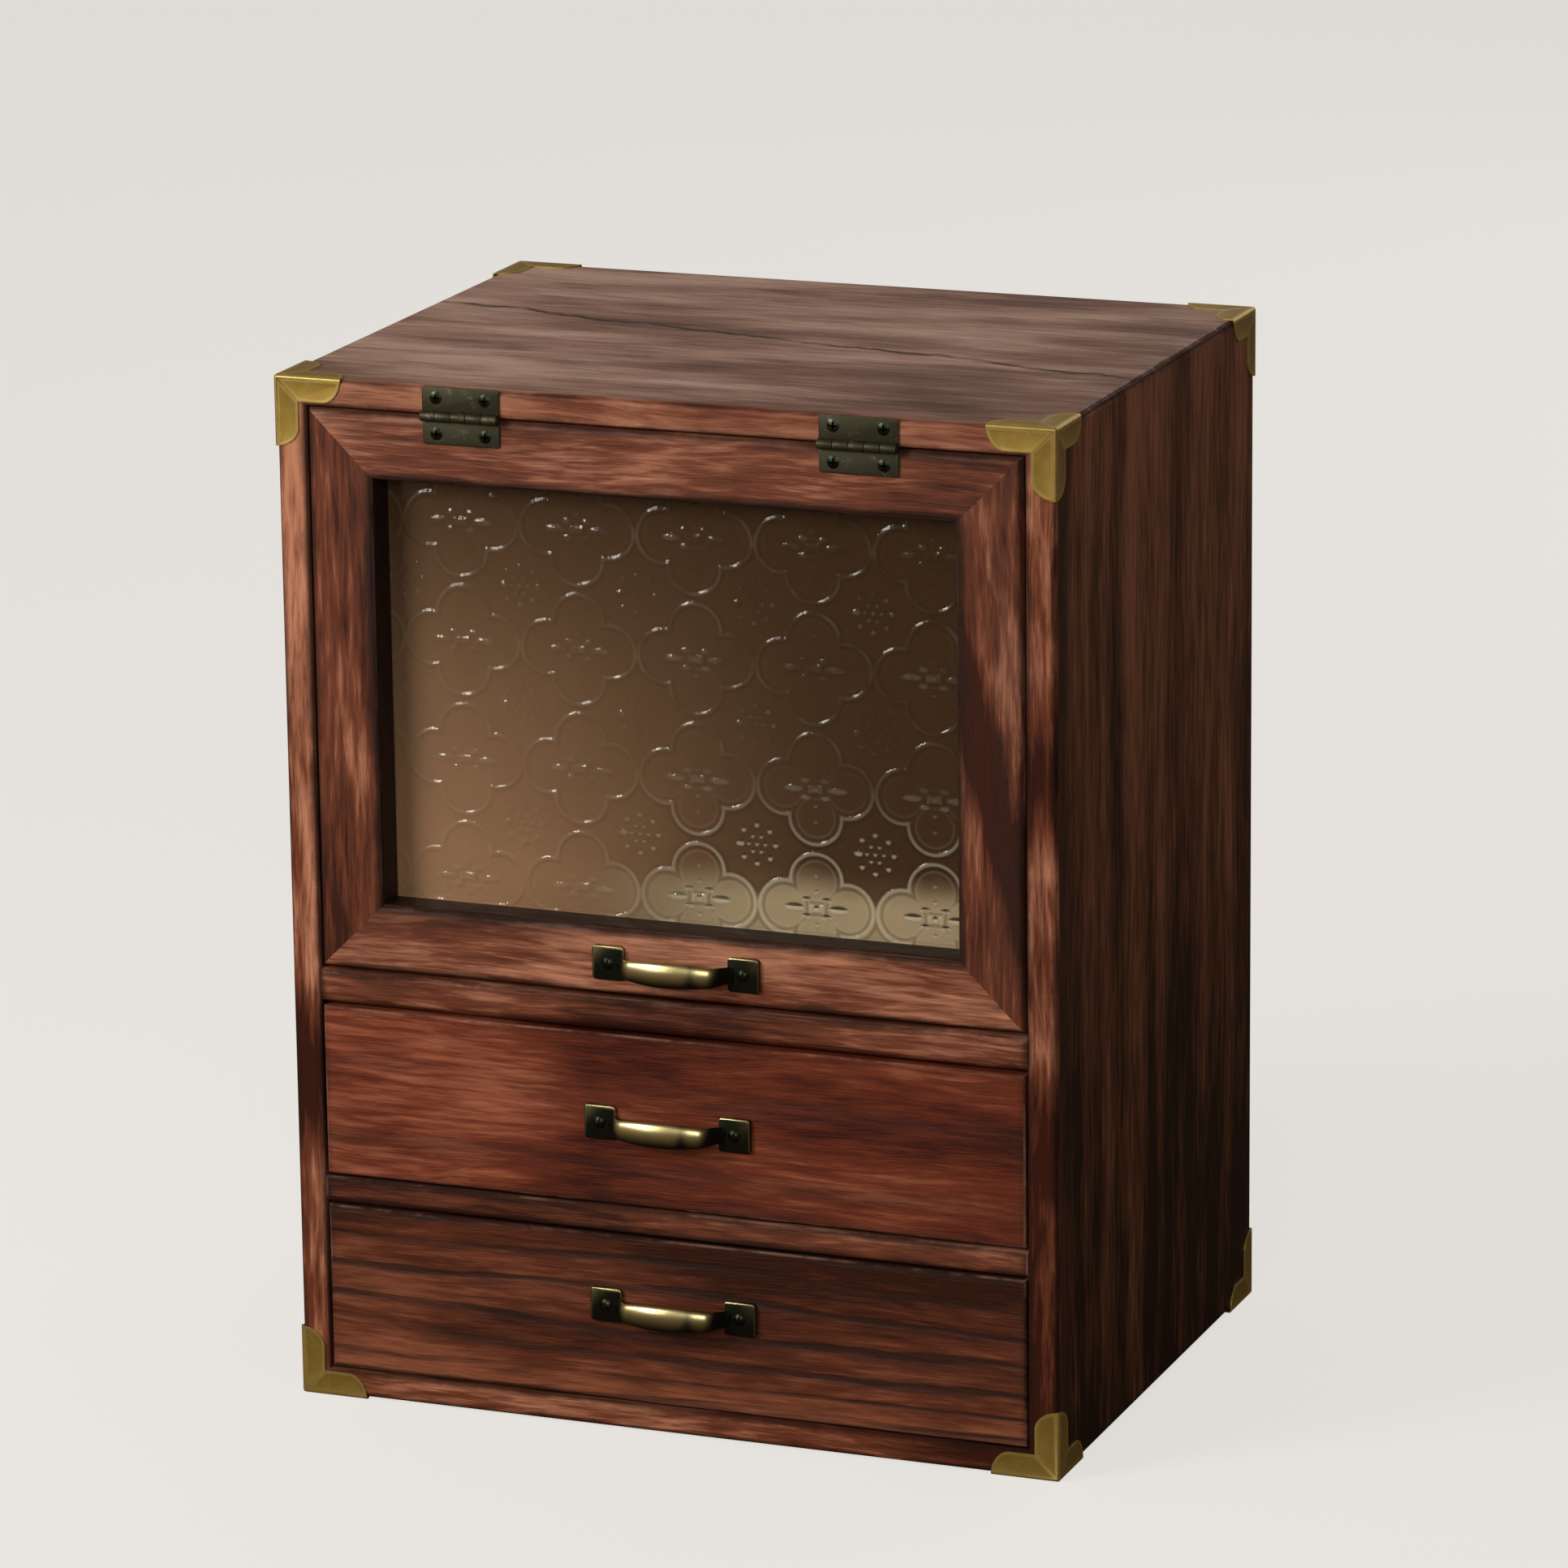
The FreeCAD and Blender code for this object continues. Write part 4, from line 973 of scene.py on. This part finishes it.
@dataclass
class BowHandle:
    """A cast bow handle with two square feet, sized in millimetres."""

    name: str
    node: str
    body: str
    x: float
    z: float
    spacing: float = 51.0
    half_length: float = 21.5
    shoulder_run: float = 6.5
    base: float = 1.3
    shoulder_rise: float = 5.2
    crown: float = 3.5
    end_half_height: float = 2.7
    swell: float = 1.9
    end_half_depth: float = 1.2
    middle_half_depth: float = 2.0
    foot_width: float = 12.0
    foot_height: float = 12.5
    foot_depth: float = 1.6
    foot_corner: float = 1.4
    foot_rim: float = 0.5
    # Where a painted dull gap on the bar sets off a bright bead near its end.
    painted_dull_gap_at: float = 9.3
    stations: int = 44
    segments: int = 28

    def stand_off(self, x: float) -> float:
        """How far the bar's middle line stands off the wood.

        Args:
            x: The place across.

        Returns:
            The distance.
        """
        share = clamped((self.half_length - abs(x)) / self.shoulder_run)
        shoulder = self.shoulder_rise * share * share * (3.0 - 2.0 * share)
        return self.base + shoulder + self.crown * (1.0 - (x / self.half_length) ** 2)

    def bar(self, bm: BMesh) -> None:
        """Add the bar: ellipses square to its path, bridged.

        Args:
            bm: The mesh that it goes into.
        """
        verts = []
        step = 0.02
        for i in range(self.stations + 1):
            at_end = i in (0, self.stations)
            x = self.half_length * math.sin(math.pi * (i / self.stations - 0.5))
            slope = 0.0 if at_end else (self.stand_off(x + step) - self.stand_off(x - step)) / (2 * step)
            full = 1.0 - (x / self.half_length) ** 2
            half_height = self.end_half_height + self.swell * full
            half_depth = self.end_half_depth + full * (self.middle_half_depth - self.end_half_depth)
            ring = Matrix.Translation((x, self.stand_off(x), 0.0)) @ \
                Matrix.Rotation(math.atan(slope), 4, "Z") @ Matrix.Rotation(math.pi / 2, 4, "Y") @ \
                Matrix.Diagonal((half_height, half_depth, 1.0, 1.0))
            verts += bmesh.ops.create_circle(bm, segments=self.segments, radius=1.0, matrix=ring,
                                             cap_ends=at_end)["verts"]
        bmesh.ops.bridge_loops(bm, edges=edges_of(verts))

    def feet(self, bm: BMesh) -> None:
        """Add the two feet: plates with rounded corners and a bevelled rim.

        Args:
            bm: The mesh that they go into.
        """
        for x in (-self.spacing / 2, self.spacing / 2):
            plate = block(bm, (x, self.foot_depth / 2, 0.0),
                          (self.foot_width, self.foot_depth, self.foot_height))
            corners = [e for e in edges_of(plate) if abs(e.verts[0].co.y - e.verts[1].co.y) > 1.0]
            bevel(bm, corners, self.foot_corner, 5)
            least_area = self.foot_width * self.foot_height / 2
            near = [f for f in bm.faces if f.normal.y > 0.9 and f.calc_area() > least_area
                    and abs(f.calc_center_median().x - x) < 1]
            bevel(bm, [edge for face in near for edge in face.edges], self.foot_rim, 3)

    def wear(self, x: float, y: float, z: float) -> float:
        """How bare the bronze is along the bar's upper front, with painted light: glints on the feet's
        inner upper corners, bare metal with a painted highlight on the feet's upper and outer rims, and
        a painted dull gap that sets off a bright bead near the bar's right end.

        Args:
            x: The place across.
            y: The place out from the wood.
            z: The place upwards.

        Returns:
            The share.
        """
        along = abs(x)
        on_bar = clamped((self.half_length - 2.5 - along) / 4.5)
        outward = clamped((y - self.stand_off(x)) / 1.2 + 0.7)
        upper = clamped(0.62 + z / 8.0)
        # Painted light: a dull gap on the bar, glints on the feet's inner upper corners and highlights on
        # their upper and outer rims.
        painted_dull_gap = 0.55 * math.exp(-((x - self.painted_dull_gap_at) / 2.2) ** 2)
        corner = 0.0
        inner = abs(along - self.half_length) < 2.2 and z > self.foot_height / 2 - 2.6
        if inner and 0.6 < y < self.foot_depth - 0.04:
            corner = 1.0
        elif along > self.half_length - 1 and y > 0.6:
            if z > self.foot_height / 2 - 0.8:
                corner = 0.40 if along > self.spacing / 2 else 0.75
            elif abs(along - self.spacing / 2) > self.foot_width / 2 - 0.8:
                corner = 0.30
        return max(on_bar * outward * upper * (1.0 - painted_dull_gap), corner)

    def build(self, material: Material) -> Object:
        """Build the handle.

        Args:
            material: Its bronze.

        Returns:
            The piece.
        """
        bm = bmesh.new()
        self.bar(bm)
        self.feet(bm)
        rub = bm.verts.layers.float.new("rub")
        for vert in bm.verts:
            vert[rub] = self.wear(*vert.co)
        place_on_front(bm, self.x, self.z, -1.0)
        bmesh.ops.recalc_face_normals(bm, faces=bm.faces)
        return new_piece(self.name, bm, material, self.body, self.node, 50.0)


@dataclass
class CornerGuard:
    """A three-sided guard whose six legs each have a sunk panel inside a raised rim."""

    node: str
    rim: float = 0.80 * MM
    sink: float = 0.11 * MM
    slope: float = 0.6
    tip: float = 2.0 * MM
    least_area: float = 200 * MM * MM
    rim_rub: float = 0.62
    panel_rub: float = 0.25

    def build(self, material: Material) -> Object:
        """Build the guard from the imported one's outline.

        Args:
            material: Its brass.

        Returns:
            The piece.
        """
        bm = bmesh.new()
        bm.from_mesh(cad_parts[self.node].data)
        bmesh.ops.remove_doubles(bm, verts=bm.verts, dist=1e-6)
        bmesh.ops.dissolve_limit(bm, angle_limit=math.radians(1.0), verts=bm.verts, edges=bm.edges)
        low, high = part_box(self.node)
        centre = (low + high) / 2
        outer = Vector([low[i] if centre[i] < MIDDLE[i] else high[i] for i in range(3)])
        self.plain_tips(bm, outer)
        legs = []
        for face in self.outer_faces(bm, outer):
            a, b = [i for i in range(3) if abs(face.normal[i]) < 0.5]
            diagonal = Vector((0.0, 0.0, 0.0))
            diagonal[a], diagonal[b] = centre[b] - outer[b], outer[a] - centre[a]
            cut = bmesh.ops.bisect_plane(
                bm, geom=[face, *face.edges, *face.verts], plane_co=outer, plane_no=diagonal, dist=3e-5)
            legs += [item for item in cut["geom"] if isinstance(item, BMFace)]
        rub = bm.verts.layers.float.new("rub")
        for vert in bm.verts:
            vert[rub] = self.rim_rub
        for share, depth in ((1.0, 0.0), (self.slope, -self.sink)):
            bmesh.ops.inset_individual(
                bm, faces=legs, thickness=self.rim * share, depth=depth, use_even_offset=True)
        for vert in {vert for face in legs for vert in face.verts}:
            vert[rub] = self.panel_rub
        return new_piece(self.node + "_embossed", bm, material, "cabinet", self.node, 30.0)

    def plain_tips(self, bm: BMesh, outer: Vector) -> None:
        """Clear the short edges at the legs' tips, where an inset would fold over.

        Args:
            bm: The guard's mesh.
            outer: The guard's outermost corner.
        """
        target = {}
        for face in self.outer_faces(bm, outer):
            flat = [i for i in range(3) if abs(face.normal[i]) < 0.5]
            for along, aside in (flat, flat[::-1]):
                reach = {vert: abs(vert.co[along] - outer[along]) - abs(vert.co[aside] - outer[aside])
                         for vert in face.verts}
                tip = max(face.verts, key=reach.get)
                target |= {vert: tip for vert in face.verts if 0.0 < (vert.co - tip.co).length < self.tip}
        bmesh.ops.weld_verts(bm, targetmap=target)

    def outer_faces(self, bm: BMesh, outer: Vector) -> list[BMFace]:
        """The three flat faces that look away from the cabinet.

        Args:
            bm: The guard's mesh.
            outer: The guard's outermost corner.

        Returns:
            The faces.
        """
        return [face for face in bm.faces for i in range(3)
                if abs(face.normal[i]) > 0.999 and face.calc_area() > self.least_area
                and abs(face.calc_center_median()[i] - outer[i]) < 1e-5]


@dataclass
class Hinge:
    """A surface hinge: two stamped leaves with rolled knuckles and a pin, sized in millimetres."""

    side: str
    x: float
    width: float = 29.0
    leaf_low: float = 1.1
    leaf_height: float = 10.2
    leaf_depth: float = 0.8
    corner: float = 1.0
    rim: float = 0.18
    barrel: float = 1.9
    barrel_edge: float = 0.22
    pin: float = 0.8
    pin_edge: float = 0.25
    tongue: float = 1.6
    knuckles: int = 5
    gap: float = 0.08
    axis_z: float = 365.25

    def rod(self, bm: BMesh, middle: float, radius: float, length: float, segments: int) -> list[BMEdge]:
        """Add a rod along the hinge's axis.

        Args:
            bm: The mesh that it goes into.
            middle: Where along the hinge its middle is.
            radius: Its radius.
            length: Its length.
            segments: The number of its sides.

        Returns:
            The edges of its ends.
        """
        turn = Matrix.Translation((middle, -self.barrel, 0.0)) @ Matrix.Rotation(math.pi / 2, 4, "Y")
        made = bmesh.ops.create_cone(bm, cap_ends=True, cap_tris=False, segments=segments, radius1=radius,
                                     radius2=radius, depth=length, matrix=turn)["verts"]
        return [e for e in edges_of(made) if abs(e.verts[0].co.x - e.verts[1].co.x) < 1e-6]

    def leaf(self, bm: BMesh, upward: bool) -> None:
        """Add a leaf with its share of the knuckles and the tongues that roll into them.

        Args:
            bm: The mesh that it goes into.
            upward: Whether it is the leaf on the cabinet.
        """
        rise = 1 if upward else -1
        plate = block(bm, (0.0, -self.leaf_depth / 2, rise * (self.leaf_height + self.leaf_low) / 2),
                      (self.width, self.leaf_depth, self.leaf_height - self.leaf_low))
        far = [e for e in edges_of(plate) if abs(e.verts[0].co.y - e.verts[1].co.y) > 0.5
               and abs(e.verts[0].co.z) > self.leaf_height - 0.1]
        bevel(bm, far, self.corner, 4)
        rim = [e for e in bm.edges if all(v.co.y < -self.leaf_depth + 0.01 for v in e.verts)]
        bevel(bm, rim, self.rim, 2)
        step = self.width / self.knuckles
        length = step - 2 * self.gap
        for i in range(0 if upward else 1, self.knuckles, 2):
            middle = (i + 0.5) * step - self.width / 2
            bevel(bm, self.rod(bm, middle, self.barrel, length, 32), self.barrel_edge, 2)
            block(bm, (middle, -self.leaf_depth / 2, rise * self.tongue / 2),
                  (length, self.leaf_depth, self.tongue))

    def knuckle_rub_and_top_light(self, y: float, z: float) -> float:
        """How bare a leaf is: a little on the knuckles, less below the axis, which paints light on their
        upper halves.
        """
        return 0.12 * clamped((-y - 0.9) / 2.6) * (1.0 if z > -0.5 else 0.3)

    def build(self, material: Material) -> list[Object]:
        """Build both leaves and the pin.

        Args:
            material: Their bronze.

        Returns:
            The pieces.
        """
        pieces = []
        for name, part, body in (("upper_leaf_stamped", "upper_leaf", "cabinet"),
                                 ("lower_leaf_stamped", "lower_leaf", "door"),
                                 ("hinge_pin_turned", "pin", "cabinet")):
            bm = bmesh.new()
            if part == "pin":
                bevel(bm, self.rod(bm, 0.0, self.pin, self.width, 24), self.pin_edge, 3)
            else:
                self.leaf(bm, part == "upper_leaf")
                bmesh.ops.recalc_face_normals(bm, faces=bm.faces)
            rub = bm.verts.layers.float.new("rub")
            for vert in bm.verts:
                # The knuckles get a little rub, with painted light on their upper halves.
                vert[rub] = 0.7 if part == "pin" else self.knuckle_rub_and_top_light(vert.co.y, vert.co.z)
            place_on_front(bm, self.x, self.axis_z * MM, 1.0)
            pieces.append(new_piece(f"{self.side}_{name}", bm, material, body,
                                    f"{self.side}_hinge_{part}", 35.0))
        return pieces


@dataclass
class Studio:
    """The camera, the pale floor and the soft lamps, each with its place, size, watts and colour."""

    camera_place: Vector = field(default_factory=lambda: Vector((0.97843, -2.49557, 0.92264)))
    target: Vector = field(default_factory=lambda: Vector((0.04498, -0.10425, 0.2438)))
    roll: float = -0.0121
    focal_pixels: float = 9473.99
    image_pixels: float = 1932.0
    sensor: float = 36.0
    clip: tuple[float, float] = (0.05, 60.0)
    floor_size: float = 12.0
    floor_colour: Colour = (0.86, 0.835, 0.80)
    bounce_colour: Colour = (0.16, 0.105, 0.065)
    even_share: float = 0.80
    backdrop: Colour = (0.90, 0.88, 0.85)
    mirrored: Colour = (0.95, 0.78, 0.62)
    ambient: float = 0.26
    lit_place: Vector = field(default_factory=lambda: Vector((0.0, -0.05, 0.19)))
    lamps: tuple[tuple[str, tuple, float, float, Colour], ...] = (
        ("key", (-1.05, -1.25, 1.00), 0.60, 18.5, (1.0, 0.95, 0.88)),
        ("glint", (-0.79, -1.46, 0.52), 0.18, 2.3, (1.0, 0.96, 0.90)),
        ("fill", (0.70, -2.60, 1.20), 1.20, 22.0, (1.0, 0.96, 0.92)),
        ("rear", (0.60, 1.90, 1.30), 2.00, 12.0, (1.0, 0.94, 0.86)))

    def build(self) -> None:
        """Set up everything round the object."""
        self.camera()
        self.floor()
        self.world()
        self.hang_lamps()
        bpy.context.scene.view_settings.view_transform = "Standard"

    def camera(self) -> None:
        """Stand the camera where the photograph was taken from."""
        data = bpy.data.cameras.new("camera")
        data.sensor_width = self.sensor
        data.lens = self.focal_pixels / self.image_pixels * self.sensor
        data.clip_start, data.clip_end = self.clip
        camera = add_object("camera", data)
        ahead = (self.target - self.camera_place).normalized()
        level = ahead.cross(Vector((0.0, 0.0, 1.0))).normalized()
        upward = level.cross(ahead)
        right = level * math.cos(self.roll) + upward * math.sin(self.roll)
        up = upward * math.cos(self.roll) - level * math.sin(self.roll)
        turn = Matrix((right, up, -ahead)).transposed()
        camera.matrix_world = Matrix.Translation(self.camera_place) @ turn.to_4x4()
        bpy.context.scene.camera = camera

    def floor(self) -> None:
        """Lay the pale floor, which the object sees darker than the camera does."""
        bm = bmesh.new()
        bmesh.ops.create_grid(bm, x_segments=2, y_segments=2, size=self.floor_size)
        mesh = bpy.data.meshes.new("floor")
        bm.to_mesh(mesh)
        bm.free()
        g = Surface("pale_floor")
        path = g.node("LightPath").outputs
        seen = g.most(path["Is Camera Ray"], path["Is Transmission Ray"])
        lit = tuple(value * (1.0 - self.even_share) for value in self.floor_colour)
        mesh.materials.append(g.shade({
            "Base Color": g.mix(seen, self.bounce_colour, lit), "Roughness": 0.8, "Specular IOR Level": 0.0,
            "Emission Color": rgba(self.floor_colour), "Emission Strength": g.times(seen, self.even_share)}))
        add_object("floor", mesh)

    def world(self) -> None:
        """Light the room evenly and show a pale backdrop to the camera, metal and glass."""
        world = bpy.data.worlds.new("room")
        world.use_nodes = True
        bpy.context.scene.world = world
        g = Graph(world.node_tree)
        path = g.node("LightPath").outputs
        x, y, z = g.split(g.node("TexCoord").outputs["Generated"])
        rearward = g.band(g.plus(y, g.times(x, -0.5)), -0.6, 0.9, 0.12, 0.30)
        mirrored = g.times(path["Is Glossy Ray"], rearward)
        ambient = g.times(path["Is Diffuse Ray"], self.ambient)
        strength = g.most(path["Is Camera Ray"], path["Is Transmission Ray"], mirrored, ambient)
        g.feed(world.node_tree.nodes["Background"], {
            "Color": g.mix(path["Is Glossy Ray"], self.backdrop, self.mirrored), "Strength": strength})

    def hang_lamps(self) -> None:
        """Hang the square area lamps, which all look at the object."""
        for name, place, size, watts, colour in self.lamps:
            data = bpy.data.lights.new(name, "AREA")
            data.size, data.energy, data.color = size, watts, colour
            lamp = add_object(name, data)
            lamp.location = place
            lamp.rotation_mode = "QUATERNION"
            lamp.rotation_quaternion = (self.lit_place - lamp.location).to_track_quat("-Z", "Y")


def main() -> None:
    """Build the organizer's looks in order and report each piece."""
    logging.basicConfig(level=logging.INFO, format="%(message)s")
    groups = Groups()
    LOG.info("packed pieces dressed: %d", PackedPieces(groups).build())
    pieces = [GlassPane().build(GlassFinish().material())]
    bronze = HANDLE_BRONZE.material(groups)
    for body, x, z in (("door", 3.7, 173.45), ("upper_drawer", -0.5, 114.65), ("lower_drawer", 0.6, 46.9)):
        pieces.append(BowHandle(f"{body}_bow", f"{body}_handle", body, x * MM, z * MM).build(bronze))
    brass = GUARD_BRASS.material(groups)
    for node in sorted(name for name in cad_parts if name.startswith("corner_guard")):
        pieces.append(CornerGuard(node).build(brass))
    dark_bronze = HINGE_BRONZE.material(groups)
    for side, x in (("left", -73.7), ("right", 73.7)):
        pieces += Hinge(side, x * MM).build(dark_bronze)
    for piece in pieces:
        LOG.info("%s: %d faces", piece.name, len(piece.data.polygons))
    Studio().build()


if __name__ == "__main__":
    main()
